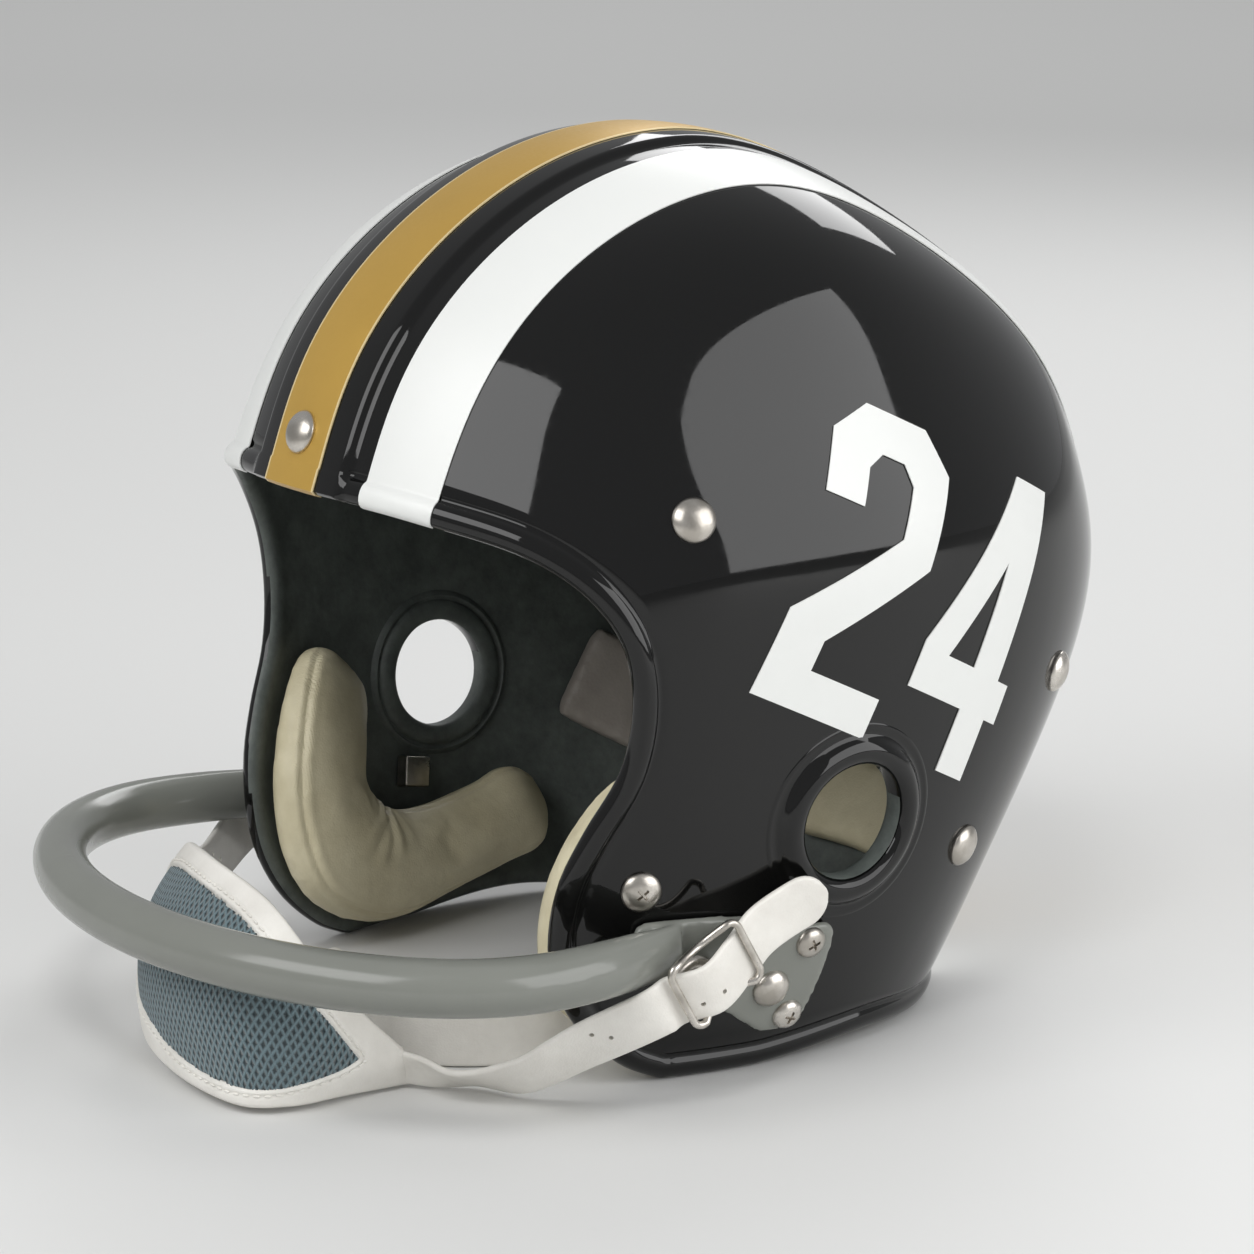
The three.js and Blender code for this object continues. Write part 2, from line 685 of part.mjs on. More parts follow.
function largestBody(solid) {
  return solid.decompose().sort((a, b) => b.volume() - a.volume())[0];
}

// Cushion swept along the jaw pad's spine, flat against the wall
function jawPad(side) {
  const rows = rowsOf(PAD_COLUMNS, PAD_ROWS);
  const spine = new THREE.CatmullRomCurve3(rows.map((row) => new THREE.Vector3(row.y, row.z, 0)));
  const sizes = new THREE.CatmullRomCurve3(rows.map((row) => new THREE.Vector3(row.halfWidth, row.depth, 0)));
  const rounded = (value) => Math.sign(value) * Math.abs(value) ** PAD_ROUNDNESS;
  const rings = [];
  for (let i = 0; i < PAD_STATIONS; i += 1) {
    const share = i / (PAD_STATIONS - 1);
    const centre = spine.getPoint(share);
    const along = spine.getTangent(share);
    const size = sizes.getPoint(share);
    const ring = [];
    for (let j = 0; j < PAD_SIDES; j += 1) {
      const turn = (j / PAD_SIDES) * 2 * Math.PI;
      const offset = size.x * rounded(Math.cos(turn));
      const depth = WALL + PAD_CLEARANCE + size.y * (rounded(Math.sin(turn)) + 1) / 2;
      const y = centre.x - along.y * offset;
      const z = centre.y + along.x * offset;
      ring.push(pointOn(side, y, z, -depth));
    }
    rings.push(ring);
  }
  return manifoldFacingOut(ringGeometry(rings, false))
    .subtract(holeOn(side, JAW_SCREW));
}

function rotatedRectangle(place) {
  const corners = [[-1, -1], [1, -1], [1, 1], [-1, 1]];
  return corners.map(([u, v]) => {
    const a = u * place.length;
    const b = v * place.height;
    const c = Math.cos(place.tilt);
    const s = Math.sin(place.tilt);
    return [place.y + a * c - b * s, place.z + a * s + b * c];
  });
}

function innerSkin(depth) {
  const from = -WALL - INNER_GAP;
  return layer(from, INNER_POINTS, INNER_ROWS).subtract(layer(from - depth, INNER_POINTS, INNER_ROWS));
}

// Rectangular piece lying on the inner wall, with a hole over a rivet or screw
function innerPiece(side, place, hole) {
  return innerSkin(place.depth)
    .intersect(wallPrism(side, rotatedRectangle(place)))
    .subtract(holeOn(side, hole, HOLE_RADIUS + PLATE_GAP));
}

function napePad() {
  const geometry = new THREE.BoxGeometry(2 * NAPE_PAD.halfWidth, BEYOND, NAPE_PAD.to - NAPE_PAD.from);
  geometry.translate(0, BEYOND / 2, (NAPE_PAD.from + NAPE_PAD.to) / 2);
  return innerSkin(NAPE_PAD.depth).intersect(manifoldFacingOut(geometry));
}

// Curved sheet with an even thickness over a grid of points
function sheetSolid(grid, normals, fromDepth, toDepth) {
  const rings = grid.map((row, i) => {
    const front = row.map((point, j) => point.clone().addScaledVector(normals[i][j], fromDepth));
    const back = row.map((point, j) => point.clone().addScaledVector(normals[i][j], toDepth));
    return [...front, ...back.reverse()];
  });
  const sides = rings[0].length;
  const width = grid[0].length;
  const geometry = ringGeometry(rings, false);
  const index = Array.from(geometry.index.array).slice(0, (rings.length - 1) * sides * 6);
  [[0, true], [(rings.length - 1) * sides, false]].forEach(([start, flip]) => {
    for (let j = 0; j < width - 1; j += 1) {
      const a = start + j;
      const b = start + j + 1;
      const c = start + sides - 2 - j;
      const d = start + sides - 1 - j;
      index.push(...(flip ? [a, c, b, a, d, c] : [a, b, c, a, c, d]));
    }
  });
  geometry.setIndex(index);
  return manifoldFacingOut(geometry);
}

// Points and normals of the cup's outside between two shares of its length
function cupGrid(fromShare, toShare, trim) {
  const edge = (name) => new THREE.CatmullRomCurve3(rowsOf(CUP_COLUMNS, CUP_ROWS).map((row) => (
    new THREE.Vector3(row[`${name}X`], row[`${name}Y`], row[`${name}Z`])
  )));
  const upper = edge('upper');
  const lower = edge('lower');
  const surface = (share, across) => {
    const top = upper.getPoint(share);
    const bottom = lower.getPoint(share);
    const along = upper.getTangent(share).add(lower.getTangent(share));
    const out = along.clone().cross(top.clone().sub(bottom)).normalize();
    const swell = CUP_BULGE * Math.sin(Math.PI * share) * Math.sin(Math.PI * across);
    return top.lerp(bottom, across).addScaledVector(out, -swell);
  };
  const grid = [];
  const normals = [];
  for (let i = 0; i < CUP_STATIONS; i += 1) {
    const share = fromShare + (toShare - fromShare) * i / (CUP_STATIONS - 1);
    const spread = trim ? trim(share) : [0, 1];
    const row = [];
    const normalRow = [];
    for (let j = 0; j < CUP_ACROSS; j += 1) {
      const across = spread[0] + (spread[1] - spread[0]) * j / (CUP_ACROSS - 1);
      const step = 0.01;
      const after = surface(Math.min(share + step, 1), across);
      const sideways = after.sub(surface(Math.max(share - step, 0), across));
      const down = surface(share, across + step).sub(surface(share, across - step));
      row.push(surface(share, across));
      normalRow.push(sideways.cross(down).normalize());
    }
    grid.push(row);
    normals.push(normalRow);
  }
  return { grid, normals };
}

function chinCup() {
  const { grid, normals } = cupGrid(0, 1);
  return sheetSolid(grid, normals, 0, -CUP_THICKNESS);
}

// Fabric on the cup's outside, rounded off towards its ends
function cupFabric() {
  const margin = 0.005;
  const trim = (share) => {
    const place = (share - CUP_END + margin) / (1 - 2 * CUP_END + 2 * margin);
    const half = (0.5 - CUP_BAND) * Math.sin(Math.PI * place) ** 0.6;
    return [0.5 - half, 0.5 + half];
  };
  const { grid, normals } = cupGrid(CUP_END, 1 - CUP_END, trim);
  return sheetSolid(grid, normals, FABRIC_LIFT + FABRIC_THICKNESS, FABRIC_LIFT);
}

// Flat strap along a centre line with a direction across it
function strapSolid(side, rows) {
  const plateRows = STRAP_OVER_PLATE.map(([x, y, z]) => [side * x, y, z, ...PLATE_STRAP_ACROSS]);
  const all = rowsOf(STRAP_COLUMNS, [...rows, ...plateRows]);
  const places = all.map((row) => new THREE.Vector3(row.x, row.y, row.z));
  const centre = new THREE.CatmullRomCurve3(places, false, 'centripetal');
  const across = new THREE.CatmullRomCurve3(all.map((row) => (
    new THREE.Vector3(row.acrossX, row.acrossY, row.acrossZ).normalize()
  )));
  const rings = [];
  for (let i = 0; i < STRAP_STATIONS; i += 1) {
    const share = i / (STRAP_STATIONS - 1);
    const middle = centre.getPoint(share);
    const along = centre.getTangent(share);
    const wide = across.getPoint(share);
    wide.addScaledVector(along, -wide.dot(along)).normalize();
    const thick = along.clone().cross(wide).normalize();
    const left = (STRAP_STATIONS - 1 - i) / 2;
    const round = left < 1 ? TAB_END + (1 - TAB_END) * Math.sqrt(left) : 1;
    rings.push(flatRing(middle, wide, thick, STRAP_WIDTH / 2 * round, STRAP_THICKNESS / 2));
  }
  return manifoldFacingOut(ringGeometry(rings, false));
}

function flatRing(middle, wide, thick, halfWide, halfThick) {
  const corners = [[-1, -1], [1, -1], [1, 1], [-1, 1]];
  return corners.map(([u, v]) => middle.clone()
    .addScaledVector(wide, u * halfWide)
    .addScaledVector(thick, v * halfThick));
}

// Wire frame of the buckle, lying over the plate
function buckle(side) {
  const middle = new THREE.Vector3(side * BUCKLE_CENTRE[0], BUCKLE_CENTRE[1], BUCKLE_CENTRE[2]);
  const out = new THREE.Vector3(side, -0.05, 0).normalize();
  const wide = new THREE.Vector3(...PLATE_STRAP_ACROSS);
  wide.addScaledVector(out, -wide.dot(out)).normalize();
  const along = new THREE.Vector3().crossVectors(wide, out).normalize();
  const shape = [];
  const straight = BUCKLE_LENGTH / 2 - BUCKLE_CORNER;
  const upright = BUCKLE_WIDTH / 2 - BUCKLE_CORNER;
  [[1, 1, 0], [-1, 1, 1], [-1, -1, 2], [1, -1, 3]].forEach(([u, v, quarter]) => {
    for (let i = 0; i <= 3; i += 1) {
      const turn = (quarter + i / 3) * Math.PI / 2;
      shape.push([
        u * straight + BUCKLE_CORNER * Math.cos(turn),
        v * upright + BUCKLE_CORNER * Math.sin(turn),
      ]);
    }
  });
  const rings = shape.map(([u, v], i) => {
    const before = shape[(i + shape.length - 1) % shape.length];
    const after = shape[(i + 1) % shape.length];
    const tangent = new THREE.Vector2(after[0] - before[0], after[1] - before[1]).normalize();
    const centre = middle.clone().addScaledVector(along, u).addScaledVector(wide, v);
    const outward = along.clone().multiplyScalar(tangent.y).addScaledVector(wide, -tangent.x);
    return Array.from({ length: HOLE_SIDES }, (_, j) => {
      const turn = (j / HOLE_SIDES) * 2 * Math.PI;
      return centre.clone()
        .addScaledVector(outward, BUCKLE_WIRE * Math.cos(turn))
        .addScaledVector(out, BUCKLE_WIRE * Math.sin(turn));
    });
  });
  return manifoldFacingOut(ringGeometry(rings, true));
}

function snap(side) {
  const geometry = new THREE.LatheGeometry(SNAP_PROFILE.map(([r, h]) => new THREE.Vector2(r, h)), SNAP_SIDES);
  geometry.rotateZ(side > 0 ? -Math.PI / 2 : Math.PI / 2);
  geometry.translate(side * SNAP_CENTRE[0], SNAP_CENTRE[1], SNAP_CENTRE[2]);
  return manifoldFacingOut(geometry);
}

function innerBand() {
  const places = BAND_POINTS.map(([x, y]) => new THREE.Vector3(x, y, GAP + BAND_WIDTH / 2));
  const curve = new THREE.CatmullRomCurve3(places, false, 'centripetal');
  const rings = [];
  const up = new THREE.Vector3(0, 0, 1);
  for (let i = 0; i < BAND_STATIONS; i += 1) {
    const share = i / (BAND_STATIONS - 1);
    const thick = curve.getTangent(share).cross(up).normalize();
    rings.push(flatRing(curve.getPoint(share), up, thick, BAND_WIDTH / 2, BAND_THICKNESS / 2));
  }
  return manifoldFacingOut(ringGeometry(rings, false));
}

const helmet = new THREE.Group();
helmet.name = 'football_helmet';

function addPiece(name, solid, finish) {
  const geometry = fromManifold(solid).translate(0, CENTRING_SHIFT, 0);
  const mesh = new THREE.Mesh(geometry, material(finish));
  mesh.name = name;
  helmet.add(mesh);
}

addPiece('shell', shellSolid(), 'gloss_black');
addPiece('center_stripe', centerStripe(), 'gold_tape');
addPiece('brow_rivet', rivetSolid(1, ['brow'], RIDGE_HEIGHT + 2 * TAPE_GAP + TAPE_THICKNESS), 'nickel');
addPiece('face_bar', faceBar(), 'grey_plastic');
addPiece('chin_cup', chinCup(), 'white_leather');
addPiece('cup_fabric', cupFabric(), 'blue_mesh');
addPiece('inner_band', innerBand(), 'white_leather');
addPiece('nape_pad', napePad(), 'khaki_leather');

Object.entries(SIDES).forEach(([name, side]) => {
  addPiece(`side_stripe_${name}`, sideStripe(side), 'white_tape');
  addPiece(`digit_two_${name}`, digit(side, DIGIT_TWO, 0), 'white_tape');
  addPiece(`digit_four_${name}`, digit(side, DIGIT_FOUR, 1), 'white_tape');
  Object.entries(RIVET_PLACES).forEach(([rivet, place]) => {
    addPiece(`${rivet}_${name}`, rivetSolid(side, place, GAP), 'nickel');
  });
  const jawScrew = screwSolid(side, JAW_SCREW, GAP, JAW_SHANK_DEPTH, JAW_SCREW_RADIUS);
  addPiece(`jaw_screw_${name}`, jawScrew, 'nickel');
  const overPlate = GAP + PLATE_GAP + PLATE_THICKNESS;
  Object.entries(PLATE_SCREWS).forEach(([height, place]) => {
    const screw = screwSolid(side, place, overPlate, SHANK_DEPTH, SCREW_RADIUS);
    addPiece(`bar_screw_${height}_${name}`, screw, 'nickel');
  });
  addPiece(`bar_dome_${name}`, rivetSolid(side, PLATE_DOME, overPlate), 'nickel');
  addPiece(`jaw_pad_${name}`, jawPad(side), 'khaki_leather');
  addPiece(`rear_pad_${name}`, innerPiece(side, REAR_PAD, RIVET_PLACES.nape_rivet), 'taupe_leather');
  addPiece(`square_nut_${name}`, innerPiece(side, SQUARE_NUT, PLATE_SCREWS.upper), 'nickel');
  addPiece(`strap_${name}`, strapSolid(side, side > 0 ? NEAR_STRAP_ROWS : FAR_STRAP_ROWS), 'white_leather');
  addPiece(`buckle_${name}`, buckle(side), 'nickel');
  addPiece(`snap_${name}`, snap(side), 'nickel');
});

export default helmet;
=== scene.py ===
import math

import bmesh
import bpy
import numpy as np
from mathutils import Matrix, Vector


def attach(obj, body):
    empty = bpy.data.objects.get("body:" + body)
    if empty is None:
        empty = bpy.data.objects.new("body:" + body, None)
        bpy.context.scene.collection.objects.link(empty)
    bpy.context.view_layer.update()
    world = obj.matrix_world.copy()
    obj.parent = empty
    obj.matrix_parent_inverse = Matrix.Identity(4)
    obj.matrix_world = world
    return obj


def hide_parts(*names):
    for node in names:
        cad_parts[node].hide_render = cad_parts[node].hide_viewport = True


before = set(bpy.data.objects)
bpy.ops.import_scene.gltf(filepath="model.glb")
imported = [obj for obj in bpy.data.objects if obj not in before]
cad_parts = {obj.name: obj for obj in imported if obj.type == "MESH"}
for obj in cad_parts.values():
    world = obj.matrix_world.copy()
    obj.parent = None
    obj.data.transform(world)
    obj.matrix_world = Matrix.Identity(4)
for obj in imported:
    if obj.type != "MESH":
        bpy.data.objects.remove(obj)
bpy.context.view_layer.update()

# Studio: a pale floor, soft lights and the camera of the photograph, fitted to the shell.
# The camera looks at the helmet's left side and its face opening from a little above.
CAMERA_AZIMUTH = 54.3
CAMERA_ELEVATION = 13.2
CAMERA_DISTANCE = 1.24235
CAMERA_TARGET = Vector((0, 0.01457, 0.1096))
LENS = 117.75


def add_camera():
    """Camera on its line through the target, looking at it."""
    data = bpy.data.cameras.new("camera")
    data.lens = LENS
    data.sensor_width = 36
    data.sensor_fit = "HORIZONTAL"
    data.clip_start = 0.01
    camera = bpy.data.objects.new("camera", data)
    a = math.radians(CAMERA_AZIMUTH)
    e = math.radians(CAMERA_ELEVATION)
    away = Vector((math.sin(a) * math.cos(e), -math.cos(a) * math.cos(e), math.sin(e)))
    camera.location = CAMERA_TARGET + away * CAMERA_DISTANCE
    camera.rotation_euler = away.to_track_quat("Z", "Y").to_euler()
    bpy.context.scene.collection.objects.link(camera)
    bpy.context.scene.camera = camera


def add_area_light(name, place, aim, size, watts):
    """A white rectangular light that looks from its place at the aim."""
    data = bpy.data.lights.new(name, "AREA")
    data.shape = "RECTANGLE"
    data.size, data.size_y = size
    data.energy = watts
    light = bpy.data.objects.new(name, data)
    light.location = place
    light.rotation_euler = (Vector(place) - Vector(aim)).to_track_quat("Z", "Y").to_euler()
    bpy.context.scene.collection.objects.link(light)


def plain_material(name, colour, roughness):
    material = bpy.data.materials.new(name)
    material.use_nodes = True
    shader = material.node_tree.nodes["Principled BSDF"]
    shader.inputs["Base Color"].default_value = (*colour, 1)
    shader.inputs["Roughness"].default_value = roughness
    return material


add_camera()
add_area_light("front window", (0.12, -1.30, 1.05), (0, 0, 0.14), (1.3, 0.85), 12)
add_area_light("side window", (1.45, 0.75, 0.75), (0, 0, 0.14), (1.7, 1.3), 18)
add_area_light("key", (0.75, -0.75, 1.7), (0, 0, 0.1), (0.5, 0.5), 7)
add_area_light("back", (-0.9, 1.3, 1.2), (0, 0, 0.15), (1.2, 0.6), 9)
add_area_light("floor wash", (-2.9, 2.1, 2.8), (-3.1, 2.2, 0), (3.4, 3.4), 32)
for name in ("key", "floor wash"):
    bpy.data.objects[name].visible_glossy = False
world = bpy.data.worlds.new("studio")
world.use_nodes = True
world.node_tree.nodes["Background"].inputs["Color"].default_value = (0.93, 0.94, 0.95, 1)
world.node_tree.nodes["Background"].inputs["Strength"].default_value = 0.4
bpy.context.scene.world = world
bpy.context.scene.view_settings.view_transform = "Standard"

floor_bm = bmesh.new()
bmesh.ops.create_grid(floor_bm, x_segments=1, y_segments=1, size=8)
floor_mesh = bpy.data.meshes.new("floor")
floor_bm.to_mesh(floor_mesh)
floor_bm.free()
floor_mesh.materials.append(plain_material("pale_floor", (0.72, 0.72, 0.71), 0.6))
floor = bpy.data.objects.new("floor", floor_mesh)
bpy.context.scene.collection.objects.link(floor)

# Shell: one moulding of glossy black plastic, 3.6 mm thick, with a raised centre ridge, a rolled
# lip round the whole rim and a hole over each ear. Half of it is a grid laid on horizontal egg
# sections, the lip is extruded from its border and the half is mirrored. Sizes are millimetres.
TO_FRAME = Vector((0, 14.4, 0))
CROWN = 259.6
WALL = 3.6
# Horizontal sections: height, half width, reach to the front and back, middle and squareness
SECTION_ROWS = (
    (0, 91, 121, 92, -6, 0.05),
    (45, 106, 130, 113, -2, 0.065),
    (90, 111.5, 135.5, 139, 3, 0.066),
    (130, 114.7, 133, 150, 3.9, 0.07),
    (165, 112, 118.5, 143.7, 2, 0.066),
    (205, 95, 99, 121.8, -0.4, 0.042),
    (235, 76.5, 71.7, 74.3, 1.6, 0),
)
INSIDE = np.array((0.0, 5.0, 100.0))
# Side view of the rim as distance back and height: face opening, then the arch of the foot
OPENING = (
    (-135, 167), (-117, 166), (-106, 163), (-91, 156.5), (-79, 145.5), (-71, 131), (-68.5, 114),
    (-71, 96), (-79, 79), (-84.5, 64), (-86, 48), (-83.5, 33), (-75, 18), (-62, 6), (-50, 0),
)
ARCH = ((-20, 0), (18, 3), (50, 0))
BACK_END = (140, 0)
RIDGE_HEIGHT = 2.0
RIDGE_FLANK = (21.0, 24.0)
RIDGE_FADE = (45.0, 80.0)
LIP_WIDTH = 9.5
LIP_HEIGHT = 1.7
LIP_HEIGHT_ON_RIDGE = 0.3
GROOVE_REACH = 2.5
GROOVE_FLOOR = -1
LIP_TURN = 1.5
# Lip from the wall outwards over the edge to the inside, as distance towards the rim and height
LIP_PROFILE = (
    (0.7, -0.3), (1.4, -0.45), (2.1, -0.3), (2.7, 0.3), (3.3, 0.95), (4.2, 1.45), (5.4, 1.7),
    (6.7, 1.65), (7.9, 1.3), (8.8, 0.65), (9.4, -0.3), (9.6, -1.3), (9.4, -2.3), (8.8, -3.2),
    (7.8, -3.9), (6.4, -4.2), (4.6, -4.15), (2.4, -3.8),
)
BAND_STATIONS = (0, 4, 8, 12, 15.5, 18.5, 20.2, 21.2, 22, 22.8, 23.6, 24.6, 26.5, 30, 34)
LENGTH_STEPS = 150
SIDE_STEPS = 64
JAW_CORNER = (-66, 14)
NAPE_CORNER = (46, 4)
OUTLINE_POINTS = 9000
RIM_POINTS = 1200
RIM_SMOOTHING = 60
FARTHEST = 260.0
HALVINGS = 36
BAND_RAYS = 400
BAND_END_POINTS = 40
MERGE_SHELL = 0.02
OPENING_STEPS = 40
ARCH_STEPS = 60
EAR_CENTRE = (0, 74)
EAR_RADIUS = 17.5
EAR_BORE_STEPS = 64
EAR_BORE_LENGTH = 0.3
# Value of the outer surface below which a face counts as under it
UNDER_SURFACE = -0.005


def natural_spline(places, values):
    """Smooth function through the values, straight at both ends."""
    places = np.asarray(places, float)
    values = np.asarray(values, float)
    steps = np.diff(places)
    count = len(places)
    system = np.eye(count)
    right = np.zeros(count)
    for i in range(1, count - 1):
        system[i, i - 1:i + 2] = steps[i - 1], 2 * (steps[i - 1] + steps[i]), steps[i]
        rise = (values[i + 1] - values[i]) / steps[i] - (values[i] - values[i - 1]) / steps[i - 1]
        right[i] = 6 * rise
    bend = np.linalg.solve(system, right)

    def curve(place):
        i = np.clip(np.searchsorted(places, place) - 1, 0, count - 2)
        h = steps[i]
        a = (places[i + 1] - place) / h
        b = 1 - a
        return (a * values[i] + b * values[i + 1]
                + ((a ** 3 - a) * bend[i] + (b ** 3 - b) * bend[i + 1]) * h * h / 6)
    return curve


section_table = np.array(SECTION_ROWS, float)
heights = section_table[:, 0]
room = CROWN - heights
half_width_squared = natural_spline(heights, section_table[:, 1] ** 2 / room)
front_squared = natural_spline(heights, section_table[:, 2] ** 2 / room)
back_squared = natural_spline(heights, section_table[:, 3] ** 2 / room)
centre_line = natural_spline(heights, section_table[:, 4])
squareness = natural_spline(heights, section_table[:, 5])


def section_at(z):
    """Half width, mean reach, skew, centre and squareness of the horizontal section at z."""
    left = np.sqrt(np.maximum(CROWN - z, 1e-9))
    width = np.sqrt(np.maximum(half_width_squared(z), 1)) * left
    front = np.sqrt(np.maximum(front_squared(z), 1)) * left
    back = np.sqrt(np.maximum(back_squared(z), 1)) * left
    return width, (back + front) / 2, (back - front) / 2, centre_line(z), squareness(z)


def outside(points):
    """Below zero inside the shell's outer surface and above zero outside it."""
    x, y, z = points[..., 0], points[..., 1], points[..., 2]
    width, mean, skew, centre, square = section_at(np.minimum(z, CROWN - 1e-6))
    skew = np.where(np.abs(skew) < 1e-6, 1e-6, skew)
    s = (np.sqrt(np.maximum(mean ** 2 + 4 * skew * (y - centre), 0)) - mean) / (2 * skew)
    value = (x / (width * (1 + square * s * s))) ** 2 + s * s - 1
    return np.where(z >= CROWN, 1.0, value)


def cast(origins, directions):
    """Where rays from inside meet the shell's outer surface."""
    low = np.zeros(directions.shape[:-1])
    high = np.full(directions.shape[:-1], FARTHEST)
    for _ in range(HALVINGS):
        middle = (low + high) / 2
        out = outside(origins + directions * middle[..., None]) > 0
        high = np.where(out, middle, high)
        low = np.where(out, low, middle)
    return origins + directions * high[..., None]


def unit(vectors):
    return vectors / np.linalg.norm(vectors, axis=-1, keepdims=True)


def onto_shell(points):
    """Points moved on to the outer surface, straight away from the middle of the hollow."""
    return cast(INSIDE, unit(points - INSIDE))


def shell_normals(points):
    """Directions out of the outer surface."""
    away = unit(points - INSIDE)
    aside = unit(np.cross(away, np.array((0.3, 0.2, 1.0))))
    along = np.cross(away, aside)
    step = 0.01
    one = cast(INSIDE, unit(away + step * aside)) - cast(INSIDE, unit(away - step * aside))
    two = cast(INSIDE, unit(away + step * along)) - cast(INSIDE, unit(away - step * along))
    normals = unit(np.cross(one, two))
    return normals * np.sign(np.sum(normals * away, axis=-1, keepdims=True))


def shell_x(y, z):
    """Half width of the outer surface at a place in the side view."""
    width, mean, skew, centre, square = section_at(z)
    s = (np.sqrt(np.maximum(mean ** 2 + 4 * skew * (y - centre), 0)) - mean) / (2 * skew)
    s = np.clip(s, -1, 1)
    return width * np.sqrt(1 - s * s) * (1 + square * s * s)


def side_points(side, y, z, lift):
    """Points over the shell's side at places in the side view."""
    y = np.asarray(y, float)
    z = np.asarray(z, float)
    base = np.stack([shell_x(y, z), y, z], axis=-1)
    points = base + shell_normals(base) * np.asarray(lift, float)[..., None]
    points[..., 0] *= side
    return points


def smooth_step(value, low, high):
    t = np.clip((value - low) / (high - low), 0, 1)
    return t * t * (3 - 2 * t)


def ridge_lift(points):
    """Height of the centre ridge over the plain shell."""
    flank = 1 - smooth_step(np.abs(points[..., 0]), *RIDGE_FLANK)
    fade = np.where(points[..., 1] > 0, smooth_step(points[..., 2], *RIDGE_FADE), 1)
    return RIDGE_HEIGHT * flank * fade


def lip_rise(start, reach, height):
    """Height of the lip off the wall. On the ridge it is almost level with the ridge's top."""
    ridge = ridge_lift(start)
    share = ridge / RIDGE_HEIGHT
    if reach < GROOVE_REACH and height > GROOVE_FLOOR:
        return height * (1 - share) + ridge
    most = LIP_HEIGHT - (LIP_HEIGHT - LIP_HEIGHT_ON_RIDGE) * share
    turned_in = max(0.0, min(1.0, (height + LIP_TURN) / LIP_TURN))
    return np.minimum(height, most) + ridge * turned_in


def plane_curve(points, steps):
    """Catmull-Rom curve through points of the side view."""
    points = np.array(points, float)
    padded = np.vstack([2 * points[0] - points[1], points, 2 * points[-1] - points[-2]])
    out = []
    for i in range(1, len(padded) - 2):
        a, b, c, d = padded[i - 1:i + 3]
        t = np.linspace(0, 1, steps, endpoint=False)[:, None]
        out.append(0.5 * (2 * b + (c - a) * t + (2 * a - 5 * b + 4 * c - d) * t ** 2
                          + (3 * b - a - 3 * c + d) * t ** 3))
    out.append(points[-1:])
    return np.vstack(out)


def run_along(line):
    """Distance of each point of a line from the first one, along the line."""
    return np.concatenate([[0], np.cumsum(np.linalg.norm(np.diff(line, axis=0), axis=1))])


def even(points, count):
    """The polyline again with evenly spaced points."""
    run = run_along(points)
    place = np.linspace(0, run[-1], count)
    return np.stack([np.interp(place, run, points[:, k]) for k in range(points.shape[1])], axis=1)


def half_rim():
    """The rim on the wearer's left from the brow's middle to the nape's, evenly spaced."""
    outline = np.vstack([plane_curve(OPENING, OPENING_STEPS), plane_curve(ARCH, ARCH_STEPS),
                         [BACK_END]])
    outline = even(outline, OUTLINE_POINTS)
    x = shell_x(outline[:, 0], np.maximum(outline[:, 1], 0))
    inside = x > 0.01
    points = np.column_stack([x, outline])[inside]
    front = cast(np.array((0, 0, points[0, 2])), np.array((0.0, -1.0, 0.0)))
    back = cast(np.array((0, 0, 0.0)), np.array((0.0, 1.0, 0.0)))
    return even(np.vstack([front, points, back]), RIM_POINTS)


rim = half_rim()
rim_run = np.gradient(rim, axis=0)
rim_run[0] = (1, 0, 0)
rim_run[-1] = (-1, 0, 0)
rim_normal = shell_normals(rim)
rim_inward = unit(np.cross(rim_run, rim_normal))
if rim_inward[0, 2] < 0:
    rim_inward = -rim_inward
border = onto_shell(rim + rim_inward * LIP_WIDTH)
border[0, 0] = border[-1, 0] = 0
# Where the rim bends sharply its offset is smoothed along the line
for _ in range(RIM_SMOOTHING):
    border[1:-1] = (border[:-2] + 2 * border[1:-1] + border[2:]) / 4
border = onto_shell(border)

# Four corners of the side patch along the border: brow, jaw, nape and back
off_band = np.abs(border[:, 0] - BAND_STATIONS[-1])
low = border[:, 2] < INSIDE[2]
ahead = border[:, 1] < 0
brow_index = int(np.argmin(off_band + 1000 * low))
jaw_index = int(np.argmin(np.hypot(border[:, 1] - JAW_CORNER[0], border[:, 2] - JAW_CORNER[1])))
nape_index = int(np.argmin(np.hypot(border[:, 1] - NAPE_CORNER[0], border[:, 2] - NAPE_CORNER[1])))
back_index = int(np.argmin(off_band + 1000 * ~low + 1000 * ahead))


def to_chart(points):
    """Directions from inside the shell as a flat map centred on the wearer's left."""
    away = unit(points - INSIDE)
    angle = np.arccos(np.clip(away[..., 0], -1, 1))
    flat = np.hypot(away[..., 1], away[..., 2])
    return np.stack([angle * away[..., 1] / flat, angle * away[..., 2] / flat], axis=-1)


def from_chart(flat):
    """Points of the outer surface at places of the flat map."""
    angle = np.hypot(flat[..., 0], flat[..., 1])
    share = np.sin(angle) / np.maximum(angle, 1e-9)
    away = np.stack([np.cos(angle), flat[..., 0] * share, flat[..., 1] * share], axis=-1)
    return cast(INSIDE, away)


def band_row(x, steps):
    """Points of the outer surface in one upright plane, from the brow's border to the nape's."""
    ends = []
    for part in (slice(0, brow_index + BAND_END_POINTS), slice(back_index - BAND_END_POINTS, None)):
        line = border[part]
        order = np.argsort(line[:, 0])
        ends.append([np.interp(x, line[order, 0], line[order, k]) for k in (1, 2)])
    centre = np.array((x, INSIDE[1], INSIDE[2]))
    first, last = (math.atan2(z - centre[2], y - centre[1]) for y, z in ends)
    if first < 0:
        first += 2 * math.pi
    turns = np.linspace(first, last, BAND_RAYS)
    rays = np.stack([np.zeros(BAND_RAYS), np.cos(turns), np.sin(turns)], axis=1)
    return even(cast(centre, rays), steps + 1)


